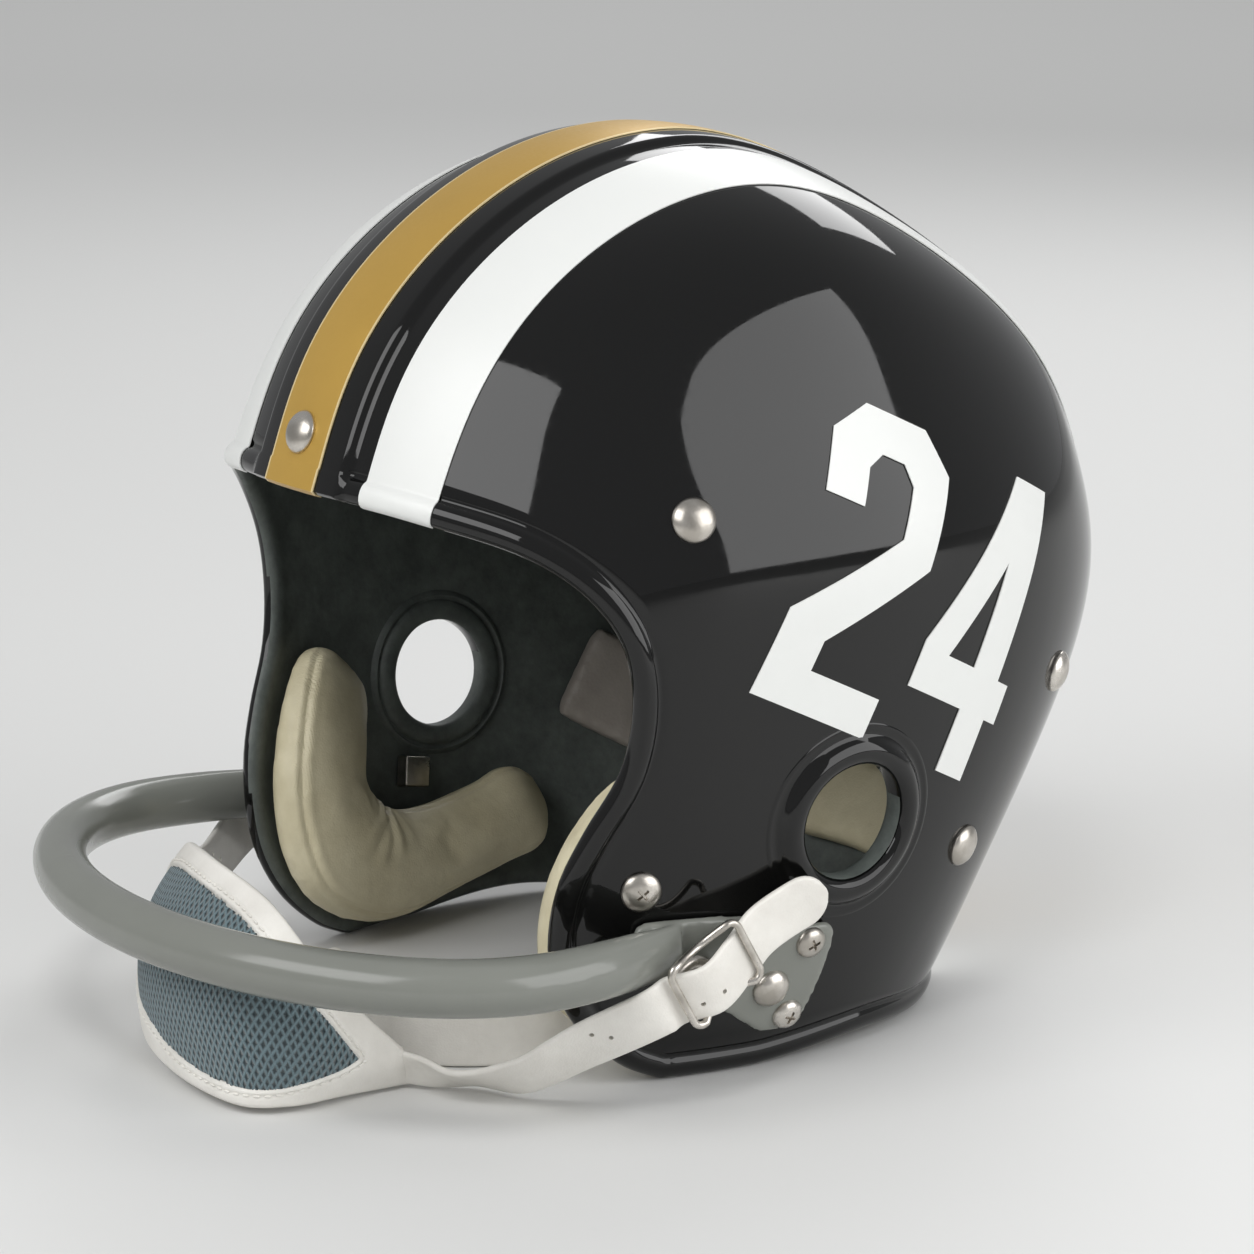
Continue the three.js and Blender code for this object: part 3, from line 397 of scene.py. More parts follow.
def side_patch():
    """Grid between the last row of the centre band and the border, blended from its four sides."""
    top = to_chart(band_row(BAND_STATIONS[-1], LENGTH_STEPS))
    bottom = to_chart(even(border[jaw_index:nape_index + 1], LENGTH_STEPS + 1))
    left = to_chart(even(border[brow_index:jaw_index + 1], SIDE_STEPS + 1))
    right = to_chart(even(border[nape_index:back_index + 1][::-1], SIDE_STEPS + 1))
    left[0], right[0] = top[0], top[-1]
    left[-1], right[-1] = bottom[0], bottom[-1]
    u = np.linspace(0, 1, LENGTH_STEPS + 1)[None, :, None]
    v = np.linspace(0, 1, SIDE_STEPS + 1)[:, None, None]
    blend = ((1 - v) * top[None] + v * bottom[None] + (1 - u) * left[:, None] + u * right[:, None]
             - (1 - u) * (1 - v) * top[0] - u * (1 - v) * top[-1]
             - (1 - u) * v * bottom[0] - u * v * bottom[-1])
    return from_chart(blend)


band = np.stack([band_row(x, LENGTH_STEPS) for x in BAND_STATIONS])
shell_grid = np.concatenate([band, side_patch()[1:]])
grid_normals = shell_normals(shell_grid)


def new_piece(name, bm, material, sharp_angle=None):
    """A finished piece from a mesh in millimetres round the ear holes, in the shared frame."""
    for vert in bm.verts:
        vert.co = (vert.co + TO_FRAME) * 0.001
    mesh = bpy.data.meshes.new(name)
    bm.to_mesh(mesh)
    bm.free()
    for polygon in mesh.polygons:
        polygon.use_smooth = True
    if sharp_angle is not None:
        mesh.set_sharp_from_angle(angle=math.radians(sharp_angle))
    mesh.materials.append(material)
    piece = bpy.data.objects.new(name, mesh)
    bpy.context.scene.collection.objects.link(piece)
    return piece


def grid_mesh(points):
    """A grid of the given rows and columns, each corner moved to its point."""
    rows, columns = points.shape[:2]
    bm = bmesh.new()
    bmesh.ops.create_grid(bm, x_segments=columns - 1, y_segments=rows - 1, size=0.5)
    table = {}
    for vert in bm.verts:
        i = round((vert.co.x + 0.5) * (columns - 1))
        j = round((vert.co.y + 0.5) * (rows - 1))
        table[vert] = (j, i)
        vert.co = points[j, i]
    return bm, table


def lip_ends():
    """For each place of the grid on the border, the rim point that the lip runs to."""
    rows, columns = shell_grid.shape[:2]
    places = [(j, i) for j in range(rows) for i in range(columns)
              if i in (0, columns - 1) or j == rows - 1]
    return {place: rim[int(np.argmin(np.linalg.norm(border - shell_grid[place], axis=1)))]
            for place in places}


def extruded_row(bm, edges, current, row):
    """Extrudes the border edges and moves the new vertices to a row. Returns edges and vertices."""
    made = bmesh.ops.extrude_edge_only(bm, edges=edges)["geom"]
    fresh = [item for item in made if isinstance(item, bmesh.types.BMVert)]
    edges = [item for item in made if isinstance(item, bmesh.types.BMEdge)
             and item.verts[0] in fresh and item.verts[1] in fresh]
    following = {}
    for vert in fresh:
        for edge in vert.link_edges:
            other = edge.other_vert(vert)
            if other in current:
                following[vert] = current[other]
                vert.co = row[current[other]]
    return edges, following


def shell_half():
    """Outer wall, lip and inner wall of the wearer's left half as one mesh."""
    lifted = shell_grid + grid_normals * ridge_lift(shell_grid)[..., None]
    bm, table = grid_mesh(lifted)
    ends = lip_ends()
    keys = list(ends)
    start = np.array([shell_grid[key] for key in keys])
    stop = np.array([ends[key] for key in keys])
    in_middle = start[:, 0] < 1e-6
    current = {vert: keys.index(table[vert]) for vert in bm.verts if table[vert] in ends}
    edges = [edge for edge in bm.edges if edge.is_boundary and edge.verts[0] in current
             and edge.verts[1] in current and not (table[edge.verts[0]][0] == 0
                                                   and table[edge.verts[1]][0] == 0)]
    for reach, height in LIP_PROFILE:
        line = onto_shell(start + (stop - start) * (reach / LIP_WIDTH))
        line[in_middle, 0] = 0
        row = line + shell_normals(line) * lip_rise(start, reach, height)[:, None]
        row[in_middle, 0] = 0
        edges, current = extruded_row(bm, edges, current, row)
    inner, _ = grid_mesh(shell_grid - grid_normals * WALL)
    mesh = bpy.data.meshes.new("inner_wall")
    inner.to_mesh(mesh)
    inner.free()
    bm.from_mesh(mesh)
    bpy.data.meshes.remove(mesh)
    extruded_row(bm, edges, current, start - shell_normals(start) * WALL)
    bmesh.ops.remove_doubles(bm, verts=bm.verts, dist=MERGE_SHELL)
    return bm


def blank_material(name):
    """A new material with its node tree, its shader and the piece's own coordinates."""
    material = bpy.data.materials.new(name)
    material.use_nodes = True
    tree = material.node_tree
    places = tree.nodes.new("ShaderNodeTexCoord").outputs["Object"]
    return material, tree, tree.nodes["Principled BSDF"], places


def clouds(tree, places, scale, detail, roughness=0.5):
    """Cloudy values between 0 and 1 over the places given."""
    noise = tree.nodes.new("ShaderNodeTexNoise")
    noise.inputs["Scale"].default_value = scale
    noise.inputs["Detail"].default_value = detail
    noise.inputs["Roughness"].default_value = roughness
    tree.links.new(places, noise.inputs["Vector"])
    return noise.outputs["Fac"]


def tinted(tree, shader, values, dark, light, first=0, last=1):
    """Colours the shader from dark at the first value to light at the last one."""
    ramp = tree.nodes.new("ShaderNodeValToRGB")
    for element, place, colour in zip(ramp.color_ramp.elements, (first, last), (dark, light)):
        element.position = place
        element.color = (*colour, 1)
    tree.links.new(values, ramp.inputs["Fac"])
    tree.links.new(ramp.outputs["Color"], shader.inputs["Base Color"])


def polished(tree, shader, values, low, high, first=0, last=1):
    """Sets the shader's roughness from low at the first value to high at the last one."""
    spread = tree.nodes.new("ShaderNodeMapRange")
    spread.inputs["From Min"].default_value = first
    spread.inputs["From Max"].default_value = last
    spread.inputs["To Min"].default_value = low
    spread.inputs["To Max"].default_value = high
    tree.links.new(values, spread.inputs["Value"])
    tree.links.new(spread.outputs["Result"], shader.inputs["Roughness"])


def embossed(tree, shader, values, strength, distance, under=None):
    """Raises the shader's surface by the values, over another relief where one is given."""
    bump = tree.nodes.new("ShaderNodeBump")
    bump.inputs["Strength"].default_value = strength
    bump.inputs["Distance"].default_value = distance
    tree.links.new(values, bump.inputs["Height"])
    if under is not None:
        tree.links.new(under.outputs["Normal"], bump.inputs["Normal"])
    tree.links.new(bump.outputs["Normal"], shader.inputs["Normal"])
    return bump


def gloss_black_material():
    """Black plastic with a hard polish, faint waves and a little dust."""
    material, tree, shader, places = blank_material("gloss_black")
    shader.inputs["Base Color"].default_value = (0.003, 0.003, 0.003, 1)
    shader.inputs["Specular IOR Level"].default_value = 0.45
    embossed(tree, shader, clouds(tree, places, 30, 2), 0.04, 0.002)
    polished(tree, shader, clouds(tree, places, 420, 6), 0.03, 0.075, 0.35, 0.75)
    return material


def interior_material():
    """The same plastic unpolished inside: dark greenish grey with a fine cast texture."""
    material, tree, shader, places = blank_material("inside_black")
    shader.inputs["Roughness"].default_value = 0.55
    tinted(tree, shader, clouds(tree, places, 70, 8, 0.7), (0.070, 0.081, 0.075),
           (0.150, 0.170, 0.157), 0.35, 0.75)
    embossed(tree, shader, clouds(tree, places, 260, 5), 0.5, 0.0006)
    return material


def apply_modifiers(piece):
    """Leaves the evaluated shape as the piece's own mesh."""
    graph = bpy.context.evaluated_depsgraph_get()
    mesh = bpy.data.meshes.new_from_object(piece.evaluated_get(graph))
    piece.modifiers.clear()
    piece.data = mesh


def cut_out(piece, bm, crosses_itself=False):
    """Cuts a mesh out of a piece and frees it."""
    mesh = bpy.data.meshes.new("cutter")
    bm.to_mesh(mesh)
    bm.free()
    cutter = bpy.data.objects.new("cutter", mesh)
    bpy.context.scene.collection.objects.link(cutter)
    cut = piece.modifiers.new("cut", "BOOLEAN")
    cut.operation = "DIFFERENCE"
    cut.solver = "EXACT"
    cut.use_self = crosses_itself
    cut.object = cutter
    apply_modifiers(piece)
    bpy.data.objects.remove(cutter)


def bore_ears(piece):
    """Drills a round hole along x through both sides of the shell."""
    bm = bmesh.new()
    turn = Matrix.Rotation(math.pi / 2, 4, "Y")
    place = Matrix.Translation((Vector((0, *EAR_CENTRE)) + TO_FRAME) * 0.001)
    bmesh.ops.create_cone(bm, cap_ends=True, segments=EAR_BORE_STEPS, radius1=EAR_RADIUS * 0.001,
                          radius2=EAR_RADIUS * 0.001, depth=EAR_BORE_LENGTH,
                          matrix=place @ turn)
    cut_out(piece, bm)


def paint_inside(piece):
    """Gives faces below the outer surface that look into the hollow the unpolished finish."""
    piece.data.materials.append(inside_black)
    for polygon in piece.data.polygons:
        centre = np.array(polygon.center) * 1000 - np.array(TO_FRAME)
        sunk = outside(centre[None])[0] < UNDER_SURFACE
        if sunk and Vector(INSIDE - centre).dot(polygon.normal) > 0:
            polygon.material_index = 1


shell_bm = shell_half()
bmesh.ops.mirror(shell_bm, geom=shell_bm.verts[:] + shell_bm.edges[:] + shell_bm.faces[:],
                 axis="X", merge_dist=0.01)
bmesh.ops.remove_doubles(shell_bm, verts=shell_bm.verts, dist=MERGE_SHELL)
bmesh.ops.recalc_face_normals(shell_bm, faces=shell_bm.faces)
gloss_black = gloss_black_material()
inside_black = interior_material()
shell = new_piece("moulded_shell", shell_bm, gloss_black)
bore_ears(shell)
paint_inside(shell)
shell.data.set_sharp_from_angle(angle=math.radians(50))
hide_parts("shell")
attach(shell, "root")

# Ear collars: the moulded ring round each ear hole, glossy black like the shell that it is part
# of, rounded outside and running through the wall to a flat matte ring inside.
SIDES = (("left", 1), ("right", -1))
COLLAR_STEPS = 72
# Ring from the inside round the bore to the outer slope, as radius and height over the shell
COLLAR_PROFILE = (
    (27.0, -3.3), (26.2, -4.6), (25.2, -5.0), (24.6, -4.3), (23.8, -4.2), (23.2, -5.4),
    (21.5, -5.8), (19.0, -5.8), (17.7, -5.4), (17.2, -4.4), (17.2, -2.0), (17.2, 0.6),
    (17.6, 1.7), (18.5, 2.5), (19.9, 3.0), (21.4, 3.0), (22.8, 2.5), (24.0, 1.6), (24.8, 0.7),
    (25.6, 0.15), (26.6, 0.0), (27.6, 0.25), (28.4, 0.35), (29.4, -0.2),
)


def moved_to(bm, points):
    """The mesh with its vertices at the points, in their order, and its faces outwards."""
    for vert, point in zip(bm.verts, points):
        vert.co = point
    bmesh.ops.recalc_face_normals(bm, faces=bm.faces)
    return bm


def collar(side):
    """The ring's profile spun once round the hole, each point laid over the shell."""
    bm = bmesh.new()
    line = [bm.verts.new((height, radius, 0)) for radius, height in COLLAR_PROFILE]
    edges = [bm.edges.new(pair) for pair in zip(line, line[1:] + line[:1])]
    bmesh.ops.spin(bm, geom=line + edges, cent=(0, 0, 0), axis=(1, 0, 0), angle=2 * math.pi,
                   steps=COLLAR_STEPS, use_merge=True)
    flat = np.array([vert.co for vert in bm.verts])
    return moved_to(bm, side_points(side, flat[:, 1] + EAR_CENTRE[0], flat[:, 2] + EAR_CENTRE[1],
                                    flat[:, 0]))


for side_name, side in SIDES:
    ring = new_piece(f"ear_collar_{side_name}", collar(side), gloss_black, sharp_angle=60)
    paint_inside(ring)
    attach(ring, "root")

# Tape stripes: gold over the ridge and white beside it, 25.4 mm wide, stuck on the shell and
# turned over the lip at both ends. Each is a strip laid in upright planes, given its thickness.
TAPE_LIFT = 0.12
TAPE_THICKNESS = 0.35
TAPE_WIDTH = 25.4
SIDE_TAPES = (("left", 30.4, 54.4), ("right", -36.0, -60.0))
TAPE_ROWS = 12
TAPE_TURN_IN = 12
BORDER_POINTS = 160
RIDGE_REACH = 5
# Distance from the middle beyond which the gold tape gets its painted edge highlight, in metres
EDGE_HIGHLIGHT_START = 0.0122


def rim_place(line, x, at_brow):
    """Point of the rim or its border at a distance from the mid-plane, at the brow or nape."""
    part = line[:brow_index + BORDER_POINTS] if at_brow else line[back_index - BORDER_POINTS:]
    order = np.argsort(part[:, 0])
    return np.array([np.interp(x, part[order, 0], part[order, k]) for k in range(3)])


def tape_row(x):
    """Outline of one upright plane through the tape: round the brow's lip, over and round again."""
    side = -1 if x < 0 else 1
    ends = []
    for at_brow in (True, False):
        start = rim_place(border, abs(x), at_brow)
        stop = rim_place(rim, abs(x), at_brow)
        ridge = ridge_lift(start[None])[0]
        points, rise = [], []
        for reach, height in LIP_PROFILE[:TAPE_TURN_IN]:
            points.append(start + (stop - start) * reach / LIP_WIDTH)
            over = lip_rise(start[None], reach, height)[0]
            rise.append(max(over, ridge) if reach < RIDGE_REACH else over)
        points = onto_shell(np.array(points))
        ends.append(points + shell_normals(points) * (np.array(rise) + TAPE_LIFT)[:, None])
    middle = band_row(abs(x), LENGTH_STEPS)
    lift = ridge_lift(middle) + TAPE_LIFT
    middle = middle + shell_normals(middle) * lift[:, None]
    row = np.vstack([ends[0][::-1], middle[1:-1], ends[1]])
    row[:, 0] *= side
    return row


def tape_strip(first_x, last_x):
    """Tape between two distances from the mid-plane, with its thickness."""
    rows = [tape_row(x) for x in np.linspace(first_x, last_x, TAPE_ROWS)]
    bm, _ = grid_mesh(np.stack(rows))
    bmesh.ops.recalc_face_normals(bm, faces=bm.faces)
    if sum(face.normal.z * face.calc_area() for face in bm.faces) < 0:
        bmesh.ops.reverse_faces(bm, faces=bm.faces)
    bmesh.ops.solidify(bm, geom=bm.faces[:], thickness=-TAPE_THICKNESS)
    bmesh.ops.recalc_face_normals(bm, faces=bm.faces)
    return bm


def tape_material(name, colour, roughness, metallic, speck):
    """Vinyl tape: an even colour with faint mottling, a satin surface and tiny creases."""
    material, tree, shader, places = blank_material(name)
    shader.inputs["Metallic"].default_value = metallic
    mottle = clouds(tree, places, 55, 5)
    tinted(tree, shader, mottle, [part * (1 - speck) for part in colour], colour)
    polished(tree, shader, clouds(tree, places, 900, 3), roughness - 0.08, roughness + 0.1)
    embossed(tree, shader, mottle, 0.12, 0.0003)
    return material


def cut_edge_highlights(material):
    """Paler line along both long edges of the gold tape: partly the vinyl's cut edge, partly a
    painted highlight where the edges catch light.
    """
    nodes, links = material.node_tree.nodes, material.node_tree.links
    shader = nodes["Principled BSDF"]
    face = shader.inputs["Base Color"].links[0].from_socket
    place = nodes.new("ShaderNodeTexCoord")
    split = nodes.new("ShaderNodeSeparateXYZ")
    links.new(place.outputs["Object"], split.inputs["Vector"])
    off = nodes.new("ShaderNodeMath")
    off.operation = "ABSOLUTE"
    links.new(split.outputs["X"], off.inputs[0])
    beyond = nodes.new("ShaderNodeMath")
    beyond.operation = "GREATER_THAN"
    beyond.inputs[1].default_value = EDGE_HIGHLIGHT_START
    links.new(off.outputs["Value"], beyond.inputs[0])
    mix = nodes.new("ShaderNodeMixRGB")
    # Lighter gold of the painted highlight along the cut edges
    mix.inputs["Color2"].default_value = (0.82, 0.66, 0.36, 1)
    links.new(beyond.outputs["Value"], mix.inputs["Fac"])
    links.new(face, mix.inputs["Color1"])
    links.new(mix.outputs["Color"], shader.inputs["Base Color"])


gold_tape = tape_material("gold_tape", (0.57, 0.35, 0.07), 0.36, 0.35, 0.12)
white_tape = tape_material("white_tape", (0.78, 0.79, 0.77), 0.35, 0.0, 0.03)
# Painted highlight along the gold tape's cut edges
cut_edge_highlights(gold_tape)
strip = tape_strip(-TAPE_WIDTH / 2, TAPE_WIDTH / 2)
gold = new_piece("gold_stripe", strip, gold_tape, sharp_angle=50)
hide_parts("center_stripe")
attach(gold, "root")
for side_name, first_x, last_x in SIDE_TAPES:
    strip = tape_strip(first_x, last_x)
    stripe = new_piece(f"white_stripe_{side_name}", strip, white_tape, sharp_angle=50)
    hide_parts(f"side_stripe_{side_name}")
    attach(stripe, "root")

# Block numbers: two figures of the same white vinyl on each side, 88 mm high and leaning back.
# Each outline is cut across into small faces that follow the shell, then given its thickness.
DIGIT_PITCH = 50.5
DIGIT_WIDTH = 44
DIGIT_LEAN = math.radians(26)
DIGIT_ORIGIN = {"left": (-37, 117), "right": (-29, 123)}
DIGIT_OUTLINES = {
    "two": ((0, 0), (42, 0), (42, 12), (15, 12), (15, 21), (42, 51), (42, 78), (32, 88), (10, 88),
            (0, 78), (0, 60), (13, 60), (13, 71), (17, 76), (25, 76), (29, 71), (29, 56), (0, 26)),
    "four": ((0, 19), (25, 19), (25, 0), (38, 0), (38, 19), (44, 19), (44, 31), (38, 31), (38, 88),
             (22, 88), (0, 33)),
}
FOUR_HOLE = ((24.5, 63.5), (24.5, 31.5), (11.5, 31.5))
CUT_STEP = 3.0


def flat_shape(outline, hole=None):
    """Flat face of an outline in the plane x = 0, with an optional hole."""
    bm = bmesh.new()
    edges = []
    for loop in (outline, hole):
        if loop is not None:
            verts = [bm.verts.new((0, y, z)) for y, z in loop]
            edges += [bm.edges.new((a, b)) for a, b in zip(verts, verts[1:] + verts[:1])]
    bmesh.ops.triangle_fill(bm, edges=edges, use_beauty=True, normal=(1, 0, 0))
    return bm


def cut_across(bm, step):
    """Cuts a flat shape in the plane x = 0 into squares of one step."""
    for axis in (1, 2):
        low = min(vert.co[axis] for vert in bm.verts)
        high = max(vert.co[axis] for vert in bm.verts)
        normal = Vector([float(k == axis) for k in range(3)])
        for k in range(1, math.ceil((high - low) / step)):
            bmesh.ops.bisect_plane(bm, geom=bm.verts[:] + bm.edges[:] + bm.faces[:], dist=1e-4,
                                   plane_co=normal * (low + k * step), plane_no=normal)


def lay_on_side(bm, side, lift):
    """Moves a flat shape from the side view on to the shell and faces it outwards."""
    flat = np.array([vert.co for vert in bm.verts])
    points = side_points(side, flat[:, 1], flat[:, 2], np.full(len(flat), lift))
    moved_to(bm, points)
    if side * sum(face.normal.x * face.calc_area() for face in bm.faces) < 0:
        bmesh.ops.reverse_faces(bm, faces=bm.faces)


def digit_shape(side, origin, figure, column):
    """One figure on one side, in the first or second column as read from outside."""

    def place(point):
        along = point[0] + column * DIGIT_PITCH
        run = along if side > 0 else DIGIT_PITCH + DIGIT_WIDTH - along
        return (origin[0] + run * math.cos(DIGIT_LEAN) + point[1] * math.sin(DIGIT_LEAN),
                origin[1] - run * math.sin(DIGIT_LEAN) + point[1] * math.cos(DIGIT_LEAN))

    hole = [place(point) for point in FOUR_HOLE] if figure == "four" else None
    bm = flat_shape([place(point) for point in DIGIT_OUTLINES[figure]], hole)
    cut_across(bm, CUT_STEP)
    lay_on_side(bm, side, TAPE_LIFT)
    bmesh.ops.solidify(bm, geom=bm.faces[:], thickness=-TAPE_THICKNESS)
    bmesh.ops.recalc_face_normals(bm, faces=bm.faces)
    return bm


for side_name, side in SIDES:
    for column, figure in enumerate(("two", "four")):
        shape = digit_shape(side, DIGIT_ORIGIN[side_name], figure, column)
        number = new_piece(f"number_{figure}_{side_name}", shape, white_tape, sharp_angle=40)
        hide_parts(f"digit_{figure}_{side_name}")
        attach(number, "root")

# Rivets, screws and domes: nickel-plated steel fasteners that hold the harness, the jaw pads and
# the face bar's plates. Each head is a profile spun round, and the screws have a cross recess.
# Profiles from the top's middle to the edge, as radius and height over the seat
RIVET_PROFILE = (
    (0, 3.0), (1.6, 2.93), (3.2, 2.6), (4.6, 2.0), (5.6, 1.25), (6.2, 0.5), (6.35, 0.0),
    (6.2, -0.5), (5.6, -0.8),
)
TRUSS_PROFILE = (
    (0, 2.6), (1.5, 2.52), (3.0, 2.25), (4.3, 1.75), (5.3, 1.05), (5.8, 0.4), (5.85, -0.1),
    (5.6, -0.6), (5.0, -0.9),
)
PLATE_SCREW_PROFILE = (
    (0, 2.3), (1.6, 2.2), (3.1, 1.85), (4.1, 1.2), (4.6, 0.4), (4.7, -0.2), (4.4, -0.6),
)
DOME_PROFILE = (
    (0, 3.2), (1.8, 3.05), (3.5, 2.5), (4.8, 1.6), (5.6, 0.6), (5.8, -0.1), (5.5, -0.7),
)
RIVET_PLACES = {"side_rivet": (-51, 166), "rear_rivet": (95, 100), "nape_rivet": (50, 56)}
JAW_SCREW_PLACE = (-64, 61)
PLATE_TOP = 3.8
# Places in the side view, and for a plate's screws the turn of the cross
SCREW_PLACES = {"bar_screw_upper": (-13.4, 41, 24), "bar_screw_lower": (-16.6, 19, 70)}
DOME_PLACE = (-24, 28.5)
BROW_RIVET_HEIGHT = 181
HEAD_STEPS = 40
RECESS_ARM = 1.1
RECESS_REACH = 5.4
RECESS_DEPTH = 2.4
RECESS_TAPER = 0.55
HEAD_GAP = 0.1
RIVET_GAP = 0.3
JAW_SCREW_GAP = 0.4
JAW_SCREW_TURN = 40


def nickel_material():
    """Old nickel plate: bright, a little warm, dulled and faintly scratched."""
    material, tree, shader, places = blank_material("nickel")
    shader.inputs["Metallic"].default_value = 1
    tarnish = clouds(tree, places, 120, 6)
    tinted(tree, shader, tarnish, (0.46, 0.43, 0.385), (0.70, 0.665, 0.615), 0.38, 0.62)
    polished(tree, shader, tarnish, 0.38, 0.2)
    embossed(tree, shader, clouds(tree, places, 900, 4), 0.15, 0.0002)
    return material


def spun_head(profile):
    """A round head standing on the plane z = 0, closed below."""
    bm = bmesh.new()
    line = [bm.verts.new((radius, 0, height)) for radius, height in profile]
    line.append(bm.verts.new((0, 0, profile[-1][1])))
    edges = [bm.edges.new(pair) for pair in zip(line, line[1:])]
    bmesh.ops.spin(bm, geom=line + edges, cent=(0, 0, 0), axis=(0, 0, 1), angle=2 * math.pi,
                   steps=HEAD_STEPS, use_merge=True)
    bmesh.ops.remove_doubles(bm, verts=bm.verts, dist=1e-4)
    bmesh.ops.recalc_face_normals(bm, faces=bm.faces)
    return bm


def upright_on(normal, turn=0.0):
    """Rotation that stands a head on a surface with this normal, turned about it in degrees."""
    stand = Vector(normal).to_track_quat("Z", "Y").to_matrix().to_4x4()
    return stand @ Matrix.Rotation(math.radians(turn), 4, "Z")


def cut_cross(piece, top):
    """Cuts a cross recess with tapering arms into a screw's head that stands upright at 0."""
    bm = bmesh.new()
    for turn in (0, math.pi / 2):
        size = Matrix.Diagonal((RECESS_REACH, RECESS_ARM, RECESS_DEPTH, 1))
        place = Matrix.Rotation(turn, 4, "Z") @ Matrix.Translation((0, 0, top)) @ size
        arm = bmesh.ops.create_cube(bm, size=1, matrix=place)
        for vert in arm["verts"]:
            if vert.co.z < top:
                vert.co.x *= RECESS_TAPER
                vert.co.y *= RECESS_TAPER
    cut_out(piece, bm, crosses_itself=True)


def fastener(name, node, profile, point, normal, turn=None):
    """A finished head at a point of the surface, with a recess where a turn is given."""
    mesh = bpy.data.meshes.new(name)
    bm = spun_head(profile)
    bm.to_mesh(mesh)
    bm.free()
    head = bpy.data.objects.new(name, mesh)
    bpy.context.scene.collection.objects.link(head)
    if turn is not None:
        cut_cross(head, profile[0][1])
    place = Matrix.Translation((Vector(point) + TO_FRAME) * 0.001)
    head.data.transform(place @ Matrix.Scale(0.001, 4) @ upright_on(normal, turn or 0))
    head.data.materials.append(nickel)
    for polygon in head.data.polygons:
        polygon.use_smooth = True
    head.data.set_sharp_from_angle(angle=math.radians(45))
    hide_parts(node)
    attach(head, "root")


def side_place(side, y, z, lift):
    """Point over a side of the shell and the direction out of it."""
    normal = shell_normals(side_points(1, y, z, 0.0)) * (side, 1, 1)
    return side_points(side, y, z, lift), normal


nickel = nickel_material()
for side_name, side in SIDES:
    for node, (y, z) in RIVET_PLACES.items():
        point, normal = side_place(side, y, z, RIVET_GAP)
        fastener(f"{node}_head_{side_name}", f"{node}_{side_name}", RIVET_PROFILE, point, normal)
    point, normal = side_place(side, *JAW_SCREW_PLACE, JAW_SCREW_GAP)
    fastener(f"jaw_screw_head_{side_name}", f"jaw_screw_{side_name}", TRUSS_PROFILE, point, normal,
             JAW_SCREW_TURN)
    for node, (y, z, turn) in SCREW_PLACES.items():
        point, normal = side_place(side, y, z, PLATE_TOP + HEAD_GAP)
        fastener(f"{node}_head_{side_name}", f"{node}_{side_name}", PLATE_SCREW_PROFILE, point,
                 normal, turn)
    point, normal = side_place(side, *DOME_PLACE, PLATE_TOP + HEAD_GAP)
    fastener(f"bar_dome_head_{side_name}", f"bar_dome_{side_name}", DOME_PROFILE, point, normal)
brow = cast(np.array((0, 0, BROW_RIVET_HEIGHT)), np.array((0.0, -1.0, 0.0)))
brow_normal = shell_normals(brow)
brow = brow + brow_normal * (RIDGE_HEIGHT + TAPE_LIFT + TAPE_THICKNESS + RIVET_GAP)
fastener("brow_rivet_head", "brow_rivet", RIVET_PROFILE, brow, brow_normal)

# Face bar: one bar of grey moulded plastic round the front, round in section and flattened at
# each end into a plate that is screwed over the jaw flap. Bar and plates are fused and smoothed.
BAR_RADIUS = 8.2
BAR_HALF_WIDTH = 110
BAR_TURN_Y = -102
BAR_REACH = 72
BAR_HEIGHT = 46
BAR_RISE = 2
# Left end of the bar up to its plate: x, y, z, half thickness and half height
BAR_END_ROWS = (
    (102.8, -56, 44.4, 2.6, 7.6), (105.5, -70, 45, 5.4, 8.0), (108.8, -86, 45.6, 7.4, 8.2),
)
BAR_ARCH_STEPS = 16
BAR_STEPS = 6
BAR_SIDES = 32
PLATE_THICKNESS = 3.4
PLATE_GAP = 0.4
PLATE_OUTLINE = ((-66, 47), (-62, 52.5), (-34, 51.5), (-15, 46.5), (-5, 43), (-9, 21), (-14, 14.5),
                 (-24, 14), (-36, 22), (-60, 35), (-66, 40))
PLATE_STEPS = 5
PLATE_CUT = 4.0
BAR_VOXEL = 1.0
BAR_SMOOTHING = 14


def bar_stations():
    """Centre line with half thickness and half height, from the left plate to the right one."""
    rows = list(BAR_END_ROWS)
    for k in range(BAR_ARCH_STEPS + 1):
        turn = math.pi * k / BAR_ARCH_STEPS
        rows.append((BAR_HALF_WIDTH * math.cos(turn), BAR_TURN_Y - BAR_REACH * math.sin(turn),
                     BAR_HEIGHT + BAR_RISE * math.sin(turn), BAR_RADIUS, BAR_RADIUS))
    rows += [(-x, y, z, thick, tall) for x, y, z, thick, tall in reversed(BAR_END_ROWS)]
    return plane_curve(rows, BAR_STEPS)


def loft(rings, closed_ends=True):
    """Skin over closed rings of points."""
    bm = bmesh.new()
    loops = []
    for ring in rings:
        verts = [bm.verts.new(point) for point in ring]
        loops.append([bm.edges.new((a, b)) for a, b in zip(verts, verts[1:] + verts[:1])])
    for first, second in zip(loops, loops[1:]):
        bmesh.ops.bridge_loops(bm, edges=first + second)
    if closed_ends:
        bmesh.ops.holes_fill(bm, edges=loops[0] + loops[-1], sides=len(rings[0]))
    bmesh.ops.recalc_face_normals(bm, faces=bm.faces)
    return bm


def bar_tube():
    """The bar without its plates, an oval section along its line."""
    stations = bar_stations()
    centre = stations[:, :3]
    along = unit(np.gradient(centre, axis=0))
    aside = unit(np.cross(along, (0, 0, 1.0)))
    up = np.cross(aside, along)
    turns = np.linspace(0, 2 * math.pi, BAR_SIDES, endpoint=False)
    thick = aside[:, None] * (stations[:, 3, None] * np.cos(turns))[..., None]
    tall = up[:, None] * (stations[:, 4, None] * np.sin(turns))[..., None]
    return loft(centre[:, None] + thick + tall)


